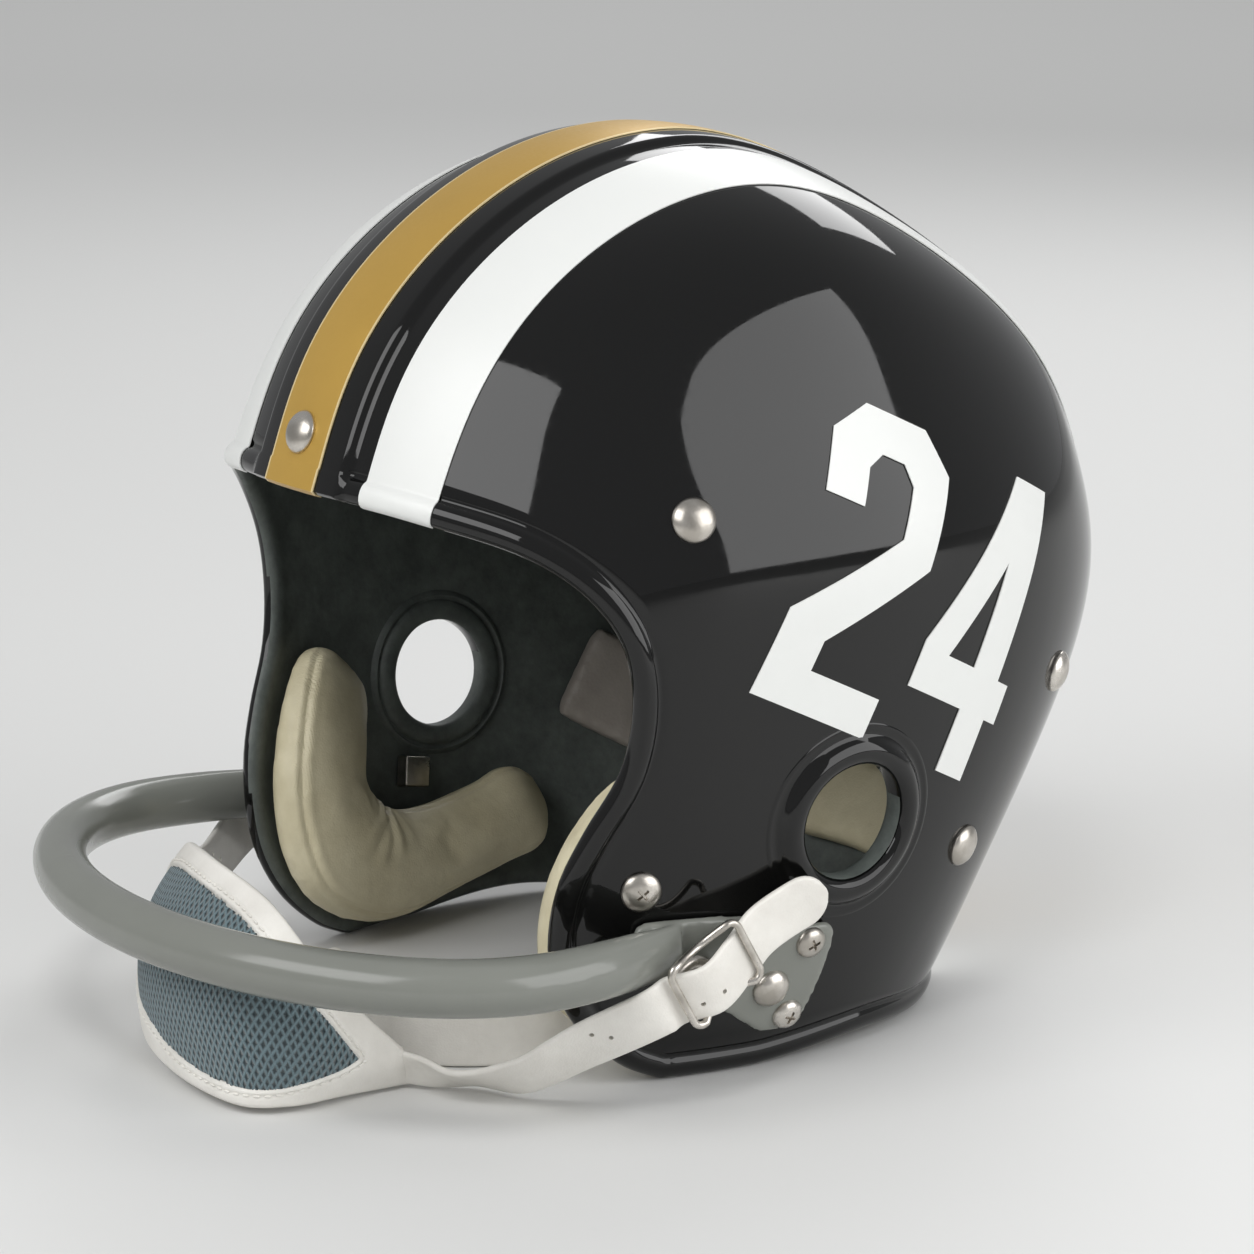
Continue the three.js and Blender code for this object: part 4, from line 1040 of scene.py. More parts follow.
def bar_plate(side):
    """Flat plate with a round outline, laid a little over the shell's side."""
    bm = flat_shape(plane_curve(PLATE_OUTLINE + PLATE_OUTLINE[:1], PLATE_STEPS)[:-1])
    cut_across(bm, PLATE_CUT)
    lay_on_side(bm, side, PLATE_GAP)
    bmesh.ops.solidify(bm, geom=bm.faces[:], thickness=-PLATE_THICKNESS)
    bmesh.ops.recalc_face_normals(bm, faces=bm.faces)
    return bm


def joined(meshes):
    """One bmesh of several, which are freed."""
    whole = bmesh.new()
    for bm in meshes:
        mesh = bpy.data.meshes.new("part")
        bm.to_mesh(mesh)
        bm.free()
        whole.from_mesh(mesh)
        bpy.data.meshes.remove(mesh)
    return whole


def fuse(piece):
    """Fuses overlapping bodies into one skin and rounds its inner corners."""
    skin = piece.modifiers.new("fuse", "REMESH")
    skin.mode = "VOXEL"
    skin.voxel_size = BAR_VOXEL * 0.001
    skin.use_smooth_shade = True
    rounding = piece.modifiers.new("rounding", "SMOOTH")
    rounding.factor = 0.5
    rounding.iterations = BAR_SMOOTHING
    apply_modifiers(piece)


def moulded_plastic():
    """Grey-green moulded plastic: glossy, slightly cloudy, with fine handling marks."""
    material, tree, shader, places = blank_material("grey_plastic")
    cloudy = clouds(tree, places, 14, 7)
    tinted(tree, shader, cloudy, (0.185, 0.192, 0.172), (0.222, 0.230, 0.207), 0.3, 0.75)
    polished(tree, shader, clouds(tree, places, 90, 8), 0.13, 0.2)
    embossed(tree, shader, cloudy, 0.03, 0.0004)
    return material


grey_plastic = moulded_plastic()
bar_bm = joined([bar_tube(), bar_plate(1), bar_plate(-1)])
bar = new_piece("moulded_face_bar", bar_bm, grey_plastic)
fuse(bar)
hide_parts("face_bar")
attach(bar, "root")

# Jaw pads: bent cushions of khaki leather over foam, one inside each jaw flap, held by the jaw
# screw. Each is swept along its bend, swollen as cloth, then given its gusset seams and creases.
# From the pad's upper end to its rear lobe: y, z, half width and depth
PAD_ROWS = (
    (-52, 91, 5, 7), (-56, 85, 16, 15), (-65, 68, 20, 20), (-69, 48, 21.5, 21), (-63, 30, 23, 23),
    (-44, 18.5, 21, 24), (-18, 17.5, 18, 23), (8, 21.5, 16.5, 22), (22, 25.5, 16.5, 20),
    (31, 28.5, 9, 12),
)
PAD_CLEARANCE = 2.6
PAD_ROUNDNESS = 0.7
PAD_SLACK = 1.6
PAD_SIDES = 28
PAD_STEPS = 5
LEAST_HALF_WIDTH = 2
PAD_SWELL = 4.0
PAD_VOXEL = 3.4
CLOTH_PRESSURE = 4
CLOTH_FRAMES = 20
SEAM_SHARE = 0.66
SEAM_DEPTH = 0.5
SEAM_WIDTH = 0.8
SEAM_LIP = 0.35
SEAM_LIP_OFF = 2.0
NOTCH = (-45, 41)
PAD_EDGE = (0.45, 0.75)
PAD_TOP = (0.45, 0.8)
SPINE_STEPS = 12
LEAST_SWELL = 0.2
FREE_DEPTH = 9
CREASE_WAVER = 0.9
CREASE_WAVE = 7
CREASE_WIDTH = 1.0
CREASE_WIDENING = 0.05
CREASE_START = 5
CREASE_FADE = 0.35
FOLD_OFF = 2.4
FOLD_SHARE = 0.45
# Creases from the notch: direction in degrees from straight back, length and depth
CREASES = ((-150, 22, 0.5), (-134, 32, 0.9), (-114, 30, 0.8), (-92, 24, 0.7), (-70, 16, 0.4))


def leather_material(name, dark, light, pore_scale, roughness=0.42, wrinkle=0.5):
    """Leather: mottled colour, fine pores, soft wrinkles and a dull shine."""
    material, tree, shader, places = blank_material(name)
    mottle = clouds(tree, places, 45, 8, 0.62)
    tinted(tree, shader, mottle, dark, light, 0.3, 0.66)
    polished(tree, shader, mottle, roughness - 0.06, roughness + 0.12)
    wrinkles = embossed(tree, shader, clouds(tree, places, 140, 5), wrinkle, 0.0006)
    pores = tree.nodes.new("ShaderNodeTexVoronoi")
    pores.inputs["Scale"].default_value = pore_scale
    tree.links.new(places, pores.inputs["Vector"])
    embossed(tree, shader, pores.outputs["Distance"], 0.25, 0.0002, under=wrinkles)
    return material


def jaw_cushion(side):
    """Leather case of a jaw pad before it is blown up: rounded sections along the bend."""
    stations = plane_curve(PAD_ROWS, PAD_STEPS)
    along = unit(np.gradient(stations[:, :2], axis=0))
    turns = np.linspace(0, 2 * math.pi, PAD_SIDES, endpoint=False)
    round_cos = np.sign(np.cos(turns)) * np.abs(np.cos(turns)) ** PAD_ROUNDNESS
    round_sin = np.sign(np.sin(turns)) * np.abs(np.sin(turns)) ** PAD_ROUNDNESS
    rings = []
    for (y, z, half_width, depth), run in zip(stations, along):
        across = max(half_width - PAD_SLACK, LEAST_HALF_WIDTH) * round_cos
        deep = WALL + PAD_CLEARANCE + (depth - PAD_SLACK) * (round_sin + 1) / 2
        rings.append(side_points(side, y - run[1] * across, z + run[0] * across, -deep))
    return loft(rings)


def blow_up(piece, most, keep_clear):
    """Blows a pad up as cloth under pressure, each point moving no further than most allows."""
    start = np.array([vert.co for vert in piece.data.vertices])
    cloth = piece.modifiers.new("cloth", "CLOTH")
    cloth.settings.quality = 5
    cloth.settings.mass = 0.3
    cloth.settings.use_pressure = True
    cloth.settings.uniform_pressure_force = CLOTH_PRESSURE
    cloth.settings.effector_weights.gravity = 0
    cloth.point_cache.frame_start = 1
    cloth.point_cache.frame_end = CLOTH_FRAMES
    for number in range(1, CLOTH_FRAMES + 1):
        bpy.context.scene.frame_set(number)
    graph = bpy.context.evaluated_depsgraph_get()
    blown = piece.evaluated_get(graph).to_mesh()
    after = np.array([vert.co for vert in blown.vertices])
    piece.evaluated_get(graph).to_mesh_clear()
    piece.modifiers.clear()
    bpy.context.scene.frame_set(1)
    move = after - start
    length = np.linalg.norm(move, axis=1)
    limit = most * 0.001 * (keep_clear(start) if keep_clear else np.ones(len(start)))
    move *= (limit * np.tanh(length / limit) / np.maximum(length, 1e-9))[:, None]
    for vert, place in zip(piece.data.vertices, start + move):
        vert.co = place


def swell(piece, voxel, most, keep_clear=None):
    """Gives a pad an even skin, blows it up and smooths it."""
    skin = piece.modifiers.new("skin", "REMESH")
    skin.mode = "VOXEL"
    skin.voxel_size = voxel * 0.001
    apply_modifiers(piece)
    blow_up(piece, most, keep_clear)
    finer = piece.modifiers.new("finer", "SUBSURF")
    finer.levels = 2
    finer.render_levels = 2
    apply_modifiers(piece)


def helmet_places(coordinates):
    """A piece's coordinates as the helmet's own, in millimetres."""
    return coordinates * 1000 - np.array(TO_FRAME)


def under_wall(places):
    """For points inside a side wall: place in the side view and depth under the outer surface."""
    y, z = places[:, 1].copy(), places[:, 2].copy()
    for _ in range(3):
        base = np.stack([shell_x(y, z), y, z], axis=-1)
        normals = shell_normals(base)
        held = np.column_stack([np.abs(places[:, 0]), places[:, 1:]])
        depth = np.sum((base - held) * normals, axis=1)
        y = places[:, 1] + normals[:, 1] * depth
        z = places[:, 2] + normals[:, 2] * depth
    return y, z, depth


def clear_of_wall(coordinates):
    """Share of the swelling that a jaw pad's points get: little next to the wall, all off it."""
    depth = under_wall(helmet_places(coordinates))[2] - WALL - PAD_CLEARANCE
    return LEAST_SWELL + (1 - LEAST_SWELL) * smooth_step(depth, 0, FREE_DEPTH)


def seam_relief(off_seam, edge):
    """The sunk seam of the gusset with a low lip on both sides."""
    sunk = SEAM_DEPTH * np.exp(-(off_seam / SEAM_WIDTH) ** 2)
    return edge * (SEAM_LIP * np.exp(-(np.abs(off_seam) - SEAM_LIP_OFF) ** 2) - sunk)


def crease_relief(y, z, angle, length, deep):
    """One crease that runs from the notch, wavers, widens and ends, with a low fold beside it."""
    run = (math.cos(math.radians(angle)), math.sin(math.radians(angle)))
    along = (y - NOTCH[0]) * run[0] + (z - NOTCH[1]) * run[1]
    aside = -(y - NOTCH[0]) * run[1] + (z - NOTCH[1]) * run[0]
    aside = aside + CREASE_WAVER * np.sin(along / CREASE_WAVE + angle)
    wide = CREASE_WIDTH + CREASE_WIDENING * np.maximum(along, 0)
    strength = smooth_step(along, 0, CREASE_START)
    strength = strength * (1 - smooth_step(along, CREASE_FADE * length, length))
    fold = np.exp(-((np.abs(aside) - FOLD_OFF * wide) / wide) ** 2)
    return deep * strength * (FOLD_SHARE * fold - np.exp(-(aside / wide) ** 2))


def shape_pad_seams(piece):
    """Gusset seams along both sides of a jaw pad and creases that radiate from its notch."""
    coordinates = np.array([vert.co for vert in piece.data.vertices])
    normals = np.array([vert.normal for vert in piece.data.vertices])
    y, z, depth = under_wall(helmet_places(coordinates))
    spine = plane_curve(PAD_ROWS, SPINE_STEPS)
    gaps = np.hypot(y[:, None] - spine[None, :, 0], z[:, None] - spine[None, :, 1])
    near = np.argmin(gaps, axis=1)
    height = (depth - WALL - PAD_CLEARANCE) / spine[near, 3]
    edge = smooth_step(gaps[np.arange(len(near)), near] / spine[near, 2], *PAD_EDGE)
    top = smooth_step(height, *PAD_TOP)
    move = seam_relief((height - SEAM_SHARE) * spine[near, 3], edge)
    for angle, length, deep in CREASES:
        move += top * crease_relief(y, z, angle, length, deep)
    coordinates += normals * (move * 0.001)[:, None]
    for vert, place in zip(piece.data.vertices, coordinates):
        vert.co = place


khaki_leather = leather_material("khaki_leather", (0.56, 0.50, 0.33), (0.71, 0.65, 0.46), 1500)
for side_name, side in SIDES:
    pad = new_piece(f"jaw_cushion_{side_name}", jaw_cushion(side), khaki_leather)
    swell(pad, PAD_VOXEL, PAD_SWELL, clear_of_wall)
    shape_pad_seams(pad)
    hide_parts(f"jaw_pad_{side_name}")
    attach(pad, "root")

# Rear and nape pads: flat pads of foam under leather, glued to the inner wall. Each starts as a
# bevelled block that is bent to the wall, then it is swollen a little as cloth.
REAR_PAD = {"y": 62, "z": 62, "half_length": 15, "half_height": 17, "tilt": -0.55, "depth": 9}
NAPE_PAD = {"half_width": 30, "from": 20, "to": 46, "depth": 13}
INNER_GAP = 0.6
FLAT_PAD_SLACK = 0.7
FLAT_PAD_SWELL = 1.5
FLAT_PAD_VOXEL = 2.6
FLAT_PAD_BEVEL = 2.6


def bevelled_block(half_y, half_z, depth, bevel, cuts):
    """Block with its front at x = 0 and its back at x = -depth, rounded at every edge."""
    bm = bmesh.new()
    size = Matrix.Diagonal((depth, 2 * half_y, 2 * half_z, 1))
    bmesh.ops.create_cube(bm, size=1, matrix=Matrix.Translation((-depth / 2, 0, 0)) @ size)
    bmesh.ops.bevel(bm, geom=bm.edges[:], offset=bevel, affect="EDGES", segments=4, profile=0.5,
                    material=-1)
    bmesh.ops.subdivide_edges(bm, edges=bm.edges[:], cuts=cuts, use_grid_fill=True)
    return bm


def against_side(bm, side, place):
    """A block tilted in the side view and bent against the inner face of a side wall."""
    flat = np.array([vert.co for vert in bm.verts])
    c, s = math.cos(place["tilt"]), math.sin(place["tilt"])
    y = place["y"] + flat[:, 1] * c - flat[:, 2] * s
    z = place["z"] + flat[:, 1] * s + flat[:, 2] * c
    return moved_to(bm, side_points(side, y, z, flat[:, 0] - WALL - INNER_GAP))


def rear_pad(side):
    """Flat pad behind an ear hole."""
    bm = bevelled_block(REAR_PAD["half_length"] - FLAT_PAD_SLACK,
                        REAR_PAD["half_height"] - FLAT_PAD_SLACK,
                        REAR_PAD["depth"] - FLAT_PAD_SLACK, FLAT_PAD_BEVEL, 2)
    return against_side(bm, side, REAR_PAD)


def back_points(x, z, lift):
    """Points over the shell's back at a distance from the mid-plane and a height."""
    origins = np.stack([x, np.zeros(len(x)), z], axis=-1)
    base = cast(origins, np.tile((0.0, 1.0, 0.0), (len(x), 1)))
    return base + shell_normals(base) * np.asarray(lift)[:, None]


def nape_pad():
    """Flat pad across the middle of the shell's back."""
    half = (NAPE_PAD["to"] - NAPE_PAD["from"]) / 2
    bm = bevelled_block(NAPE_PAD["half_width"] - FLAT_PAD_SLACK, half - FLAT_PAD_SLACK,
                        NAPE_PAD["depth"] - FLAT_PAD_SLACK, FLAT_PAD_BEVEL, 3)
    flat = np.array([vert.co for vert in bm.verts])
    return moved_to(bm, back_points(flat[:, 1], flat[:, 2] + NAPE_PAD["from"] + half,
                                    flat[:, 0] - WALL - INNER_GAP))


taupe_leather = leather_material("taupe_leather", (0.33, 0.295, 0.26), (0.44, 0.40, 0.36), 900)
for side_name, side in SIDES:
    pad = new_piece(f"rear_cushion_{side_name}", rear_pad(side), taupe_leather)
    swell(pad, FLAT_PAD_VOXEL, FLAT_PAD_SWELL)
    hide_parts(f"rear_pad_{side_name}")
    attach(pad, "root")
pad = new_piece("nape_cushion", nape_pad(), khaki_leather)
swell(pad, FLAT_PAD_VOXEL, FLAT_PAD_SWELL)
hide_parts("nape_pad")
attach(pad, "root")

# Square nuts: small blocks of dull metal inside the jaw flaps, which hold the plates' upper
# screws. Each is a bevelled block bent to the inner wall.
SQUARE_NUT = {"y": -14.5, "z": 43.5, "half": 5, "tilt": -0.2, "depth": 5}
SQUARE_NUT_BEVEL = 0.6

for side_name, side in SIDES:
    block = bevelled_block(SQUARE_NUT["half"], SQUARE_NUT["half"], SQUARE_NUT["depth"],
                           SQUARE_NUT_BEVEL, 1)
    nut = new_piece(f"nut_block_{side_name}", against_side(block, side, SQUARE_NUT), nickel,
                    sharp_angle=40)
    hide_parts(f"square_nut_{side_name}")
    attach(nut, "root")

# Chin cup: a cup of white leather with a rolled binding round it, which rests on the floor below
# the face bar. Its wall is a grid between an upper and a lower edge, swollen outwards.
# Upper and lower edge of the wall from the near end to the far one, x, y and z of each
CUP_ROWS = (
    (50, -113.5, 10.5, 48.5, -111.5, 2.3),
    (47, -126, 24, 47, -131, 2),
    (41, -137, 40, 47, -150, 2),
    (26, -142, 55, 38, -162, 2),
    (0, -143.5, 61, 5, -162, 2),
    (-25, -137, 59, -26, -154, 5),
    (-39, -130, 53, -44, -141, 20),
    (-48, -126, 49, -51, -127.5, 36),
)
CUP_BULGE = 10
CUP_THICKNESS = 2.6
CUP_SHARES = 280
CUP_ACROSS = 120
CUP_ROUND = 8
CUP_INNER = 40
CUP_MARGIN = 0.035
EDGE_STEPS = 40
BINDING_HEIGHT = 1.5
BINDING_EDGE = (-0.2, 1.1)
STITCH_GROOVE = 2.1
STITCH_GROOVE_DEPTH = 0.45
STITCH_GROOVE_WIDTH = 0.5
MERGE = 0.005
# Outline of the fabric as share of the cup's length and share of its height from the top
FABRIC_OUTLINE = (
    (0.155, 0.53), (0.21, 0.42), (0.27, 0.32), (0.34, 0.24), (0.42, 0.175), (0.50, 0.135),
    (0.60, 0.125), (0.70, 0.14), (0.79, 0.21), (0.86, 0.34), (0.885, 0.48), (0.86, 0.63),
    (0.79, 0.75), (0.70, 0.80), (0.63, 0.825), (0.55, 0.875), (0.47, 0.90), (0.38, 0.895),
    (0.30, 0.855), (0.24, 0.77), (0.19, 0.66),
)
FABRIC_LIFT = 0.8
FABRIC_SPARE = 0.7
FABRIC_THICKNESS = 0.5
FABRIC_LENGTH = (0.13, 0.91)
FABRIC_HEIGHT = (0.08, 0.95)
FABRIC_SHARES = 200
FABRIC_ACROSS = 110
OUTLINE_STEPS = 10
CORD_TURNS = (28, -48)
CORD_PITCH = 2.05

upper_edge = plane_curve([row[:3] for row in CUP_ROWS], EDGE_STEPS)
lower_edge = plane_curve([row[3:] for row in CUP_ROWS], EDGE_STEPS)
edge_runs = unit(np.gradient(upper_edge, axis=0)) + unit(np.gradient(lower_edge, axis=0))
inward = unit(np.cross(edge_runs, upper_edge - lower_edge))


def along_edge(line, share):
    """Points of an edge at shares of its length."""
    places = np.linspace(0, 1, len(line))
    return np.stack([np.interp(share, places, line[:, k]) for k in range(3)], axis=-1)


def cup_wall(share, across):
    """Points of the cup's outer face."""
    share, across = np.broadcast_arrays(share, across)
    top = along_edge(upper_edge, share)
    bottom = along_edge(lower_edge, share)
    swelling = CUP_BULGE * np.sin(np.pi * share) * np.sin(np.pi * np.clip(across, 0, 1))
    straight = top + (bottom - top) * across[..., None]
    return straight - along_edge(inward, share) * swelling[..., None]


def cup_normals(share, across):
    """Directions out of the cup's outer face."""
    share, across = np.broadcast_arrays(share, across)
    sideways = (cup_wall(np.minimum(share + 0.01, 1), across)
                - cup_wall(np.maximum(share - 0.01, 0), across))
    down = cup_wall(share, across + 0.01) - cup_wall(share, across - 0.01)
    return unit(np.cross(sideways, down))


def inside_outline(points, outline):
    """Which flat points lie inside a closed outline."""
    inside = np.zeros(len(points), bool)
    for (x1, y1), (x2, y2) in zip(outline, np.roll(outline, -1, axis=0)):
        crosses = (y1 > points[:, 1]) != (y2 > points[:, 1])
        rise = y2 - y1 if y2 != y1 else 1e-12
        inside ^= crosses & (points[:, 0] < (x2 - x1) * (points[:, 1] - y1) / rise + x1)
    return inside


closed_outline = plane_curve(FABRIC_OUTLINE + FABRIC_OUTLINE[:1], OUTLINE_STEPS)[:-1]
outline_places = cup_wall(closed_outline[:, 0], closed_outline[:, 1])


def off_fabric(share, across, points):
    """Distance of points outside the fabric's outline, below zero on the fabric."""
    flat = points.reshape(-1, 3)
    gap = np.concatenate([
        np.min(np.linalg.norm(part[:, None] - outline_places[None], axis=2), axis=1)
        for part in np.array_split(flat, 40)
    ])
    inside = inside_outline(np.stack([share.ravel(), across.ravel()], axis=1), closed_outline)
    return np.where(inside, -gap, gap).reshape(share.shape)


def closed_body(rings):
    """Solid skin over a grid whose rows close on themselves, filled at both ends."""
    bm, _ = grid_mesh(rings)
    bmesh.ops.remove_doubles(bm, verts=bm.verts, dist=MERGE)
    bmesh.ops.holes_fill(bm, edges=[edge for edge in bm.edges if edge.is_boundary], sides=0)
    bmesh.ops.recalc_face_normals(bm, faces=bm.faces)
    return bm


def cup_body():
    """Outer face with its binding and stitch groove, rolled edges and inner face."""
    shares = np.linspace(0, 1, CUP_SHARES)[:, None]
    face = np.linspace(CUP_MARGIN, 1 - CUP_MARGIN, CUP_ACROSS)[None, :]
    share, across = np.broadcast_arrays(shares, face)
    points = cup_wall(share, across)
    normals = cup_normals(share, across)
    outward = off_fabric(share, across, points)
    height = BINDING_HEIGHT * smooth_step(outward, *BINDING_EDGE)
    groove = np.exp(-((outward - STITCH_GROOVE) / STITCH_GROOVE_WIDTH) ** 2)
    height = height - STITCH_GROOVE_DEPTH * groove
    outer = points + normals * height[..., None]
    half = (BINDING_HEIGHT + CUP_THICKNESS) / 2
    turns = np.linspace(0, math.pi, CUP_ROUND + 2)[1:-1]

    def rolled(column, way):
        middle = points[:, column] + normals[:, column] * (BINDING_HEIGHT - half)
        down = unit(np.gradient(points, axis=1)[:, column]) * way
        out = normals[:, column]
        return np.stack([middle + out * half * math.cos(t) + down * half * math.sin(t)
                         for t in turns], axis=1)

    picked = np.linspace(CUP_ACROSS - 1, 0, CUP_INNER).astype(int)
    inner = points[:, picked] - normals[:, picked] * CUP_THICKNESS
    return closed_body(np.concatenate(
        [outer, rolled(-1, 1), inner, rolled(0, -1)[:, ::-1], outer[:, :1]], axis=1))


def fabric_patch():
    """Grid over the fabric's outline with its own flat map in metres."""
    shares = np.linspace(*FABRIC_LENGTH, FABRIC_SHARES)[:, None]
    face = np.linspace(*FABRIC_HEIGHT, FABRIC_ACROSS)[None, :]
    share, across = np.broadcast_arrays(shares, face)
    points = cup_wall(share, across)
    outward = off_fabric(share, across, points)
    lifted = points + cup_normals(share, across) * FABRIC_LIFT
    run = run_along(points[:, FABRIC_ACROSS // 2])
    bm, table = grid_mesh(lifted)
    weave = bm.loops.layers.uv.new("weave")
    for vert, (row, column) in table.items():
        width = np.linalg.norm(points[row, -1] - points[row, 0])
        for loop in vert.link_loops:
            loop[weave].uv = (run[row] * 0.001, (face[0, column] - 0.5) * width * 0.001)
    spare = [vert for vert, place in table.items() if outward[place] > FABRIC_SPARE]
    bmesh.ops.delete(bm, geom=spare, context="VERTS")
    bmesh.ops.recalc_face_normals(bm, faces=bm.faces)
    if sum(face.normal.y * face.calc_area() for face in bm.faces) > 0:
        bmesh.ops.reverse_faces(bm, faces=bm.faces)
    area = sum(face.calc_area() for face in bm.faces) * 1e-6
    bmesh.ops.solidify(bm, geom=bm.faces[:], thickness=FABRIC_THICKNESS)
    return bm, area


def mesh_fabric_material():
    """Blue-grey open mesh: crossing cords with dark gaps, drawn on the patch's own map."""
    material, tree, shader, _ = blank_material("blue_mesh")
    nodes, links = tree.nodes, tree.links
    shader.inputs["Roughness"].default_value = 0.7
    shader.inputs["Sheen Weight"].default_value = 0.25
    own_map = nodes.new("ShaderNodeUVMap")
    own_map.uv_map = "weave"
    flat = own_map.outputs["UV"]
    waver = nodes.new("ShaderNodeTexNoise")
    waver.inputs["Scale"].default_value = 260
    waver.inputs["Detail"].default_value = 3
    links.new(flat, waver.inputs["Vector"])
    shift = nodes.new("ShaderNodeVectorMath")
    shift.operation = "MULTIPLY_ADD"
    shift.inputs[1].default_value = (0.0007, 0.0007, 0)
    links.new(waver.outputs["Color"], shift.inputs[0])
    links.new(flat, shift.inputs[2])
    relief = nodes.new("ShaderNodeMath")
    relief.operation = "MAXIMUM"
    for cord, turn in enumerate(CORD_TURNS):
        place = nodes.new("ShaderNodeMapping")
        place.inputs["Rotation"].default_value = (0, 0, math.radians(turn))
        links.new(shift.outputs["Vector"], place.inputs["Vector"])
        wave = nodes.new("ShaderNodeTexWave")
        wave.inputs["Scale"].default_value = 2000 / (CORD_PITCH * 6.2832)
        wave.inputs["Distortion"].default_value = 0.4
        wave.inputs["Detail"].default_value = 0
        links.new(place.outputs["Vector"], wave.inputs["Vector"])
        links.new(wave.outputs["Fac"], relief.inputs[cord])
    tinted(tree, shader, relief.outputs["Value"], (0.030, 0.050, 0.058), (0.155, 0.225, 0.250),
           0.3, 0.8)
    fibres = embossed(tree, shader, clouds(tree, flat, 2600, 3), 0.35, 0.0002)
    embossed(tree, shader, relief.outputs["Value"], 1.0, 0.0011, under=fibres)
    return material


white_leather = leather_material("white_leather", (0.73, 0.705, 0.655), (0.86, 0.84, 0.79),
                                 1700, 0.34, 0.35)
blue_mesh = mesh_fabric_material()
cup = new_piece("leather_chin_cup", cup_body(), white_leather, sharp_angle=60)
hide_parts("chin_cup")
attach(cup, "root")
patch_bm, patch_area = fabric_patch()
fabric = new_piece("cup_mesh_fabric", patch_bm, blue_mesh)
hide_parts("cup_fabric")
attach(fabric, "root")

# Cup stitching: white thread that holds the fabric's binding, sewn a little way outside it. The
# fabric's outline is widened step by step until it runs in the groove, and stitches follow it.
STITCH_PITCH = 3.2
STITCH_LENGTH = 2.3
STITCH_RADIUS = 0.42
STITCH_SUNK = 0.2
WIDENING_STEPS = 12
MOST_WIDENING = 0.02
CUP_HEIGHT = 60


def stitch_row(places, normals):
    """Stitches along a line of points: short rounded threads, half sunk in the leather."""
    run = run_along(places)

    def on_line(values, at):
        return Vector([np.interp(at, run, values[:, k]) for k in range(3)])

    bm = bmesh.new()
    size = Matrix.Diagonal((STITCH_LENGTH / 2, STITCH_RADIUS, STITCH_RADIUS, 1))
    for at in np.arange(STITCH_PITCH / 2, run[-1], STITCH_PITCH):
        up = on_line(normals, at).normalized()
        along = (on_line(places, at + 0.5) - on_line(places, at - 0.5)).normalized()
        turn = Matrix((along, up.cross(along), up)).transposed().to_4x4()
        bmesh.ops.create_uvsphere(bm, u_segments=8, v_segments=6, radius=1,
                                  matrix=Matrix.Translation(on_line(places, at)) @ turn @ size)
    return bm


middle = closed_outline.mean(axis=0)
stitch_flat = closed_outline + (closed_outline - middle) / 1000
for _ in range(WIDENING_STEPS):
    places = cup_wall(stitch_flat[:, 0], stitch_flat[:, 1])
    gap = np.min(np.linalg.norm(places[:, None] - outline_places[None], axis=2), axis=1)
    short = np.clip((STITCH_GROOVE - gap) / CUP_HEIGHT, -MOST_WIDENING, MOST_WIDENING)
    stitch_flat += unit(stitch_flat - middle) * short[:, None]
stitch_flat = np.vstack([stitch_flat, stitch_flat[:1]])
stitch_normals = cup_normals(stitch_flat[:, 0], stitch_flat[:, 1])
stitch_places = (cup_wall(stitch_flat[:, 0], stitch_flat[:, 1])
                 + stitch_normals * (BINDING_HEIGHT - STITCH_SUNK))
thread = new_piece("cup_stitches", stitch_row(stitch_places, stitch_normals), white_leather)
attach(thread, "root")

# Chin straps: two flat straps of white leather from the cup's ends, over the bar's plates. Each
# is a strip with rounded edges swept along its bend, with a round tab end and punched holes.
STRAP_WIDTH = 16
STRAP_THICKNESS = 2.0
STRAP_EDGE = 0.8
STRAP_STEPS = 10
STRAP_START = 10.5
STRAP_START_LENGTH = 18
# From the cup towards the plate: x, y and z of the middle, then the direction across the strap
NEAR_STRAP = (
    (49.6, -113.2, 6.5, 0.3, -0.1, 0.95), (66, -104.5, 6.2, 0.72, -0.5, 0.45),
    (82, -95.5, 9.2, 0.55, -0.3, 0.75), (97.5, -84, 20.5, 0.3, -0.3, 0.9),
)
FAR_STRAP = (
    (-52, -124.5, 42, 0, 0.1, 1), (-66, -117, 36.5, 0, 0.1, 1), (-84, -105, 29.5, 0, 0.15, 1),
    (-99, -90, 26, -0.1, -0.1, 1),
)
STRAP_OVER_PLATE = (
    (112.2, -72, 31), (113, -64, 34), (117.4, -54.5, 36.8), (115.4, -44, 43), (112.8, -35, 48.5),
    (113.2, -24, 53.4), (115.8, -14, 57.6),
)
PLATE_STRAP_ACROSS = (0, -0.49, 0.87)
# Punched holes as distance from the cup and off the strap's middle
STRAP_HOLES = ((63.8, 3.0), (67.4, -0.6), (96.7, -3.0), (103.3, -2.5))
HOLE_RADIUS = 0.75
HOLE_SIDES = 14
HOLE_CUT = 8
FLAT_POINTS = 9
# Turns of the points of a rounded edge, in radians
ROUND_EDGE = (0.5, 1.05, 1.57, 2.1, 2.65)
LEAST_TAB_REACH = 1.4


def strap_frame(side, rows):
    """Centre line of a strap, a point a millimetre, with the directions across and through it."""
    over = [(side * x, y, z, *PLATE_STRAP_ACROSS) for x, y, z in STRAP_OVER_PLATE]
    line = plane_curve(list(rows) + over, STRAP_STEPS)
    centre = line[:, :3]
    along = unit(np.gradient(centre, axis=0))
    across = line[:, 3:]
    across = unit(across - along * np.sum(across * along, axis=1, keepdims=True))
    through = np.cross(along, across)
    run = run_along(centre)
    place = np.linspace(0, run[-1], int(run[-1]))
    return place, *(np.stack([np.interp(place, run, values[:, k]) for k in range(3)], axis=1)
                    for values in (centre, across, through))


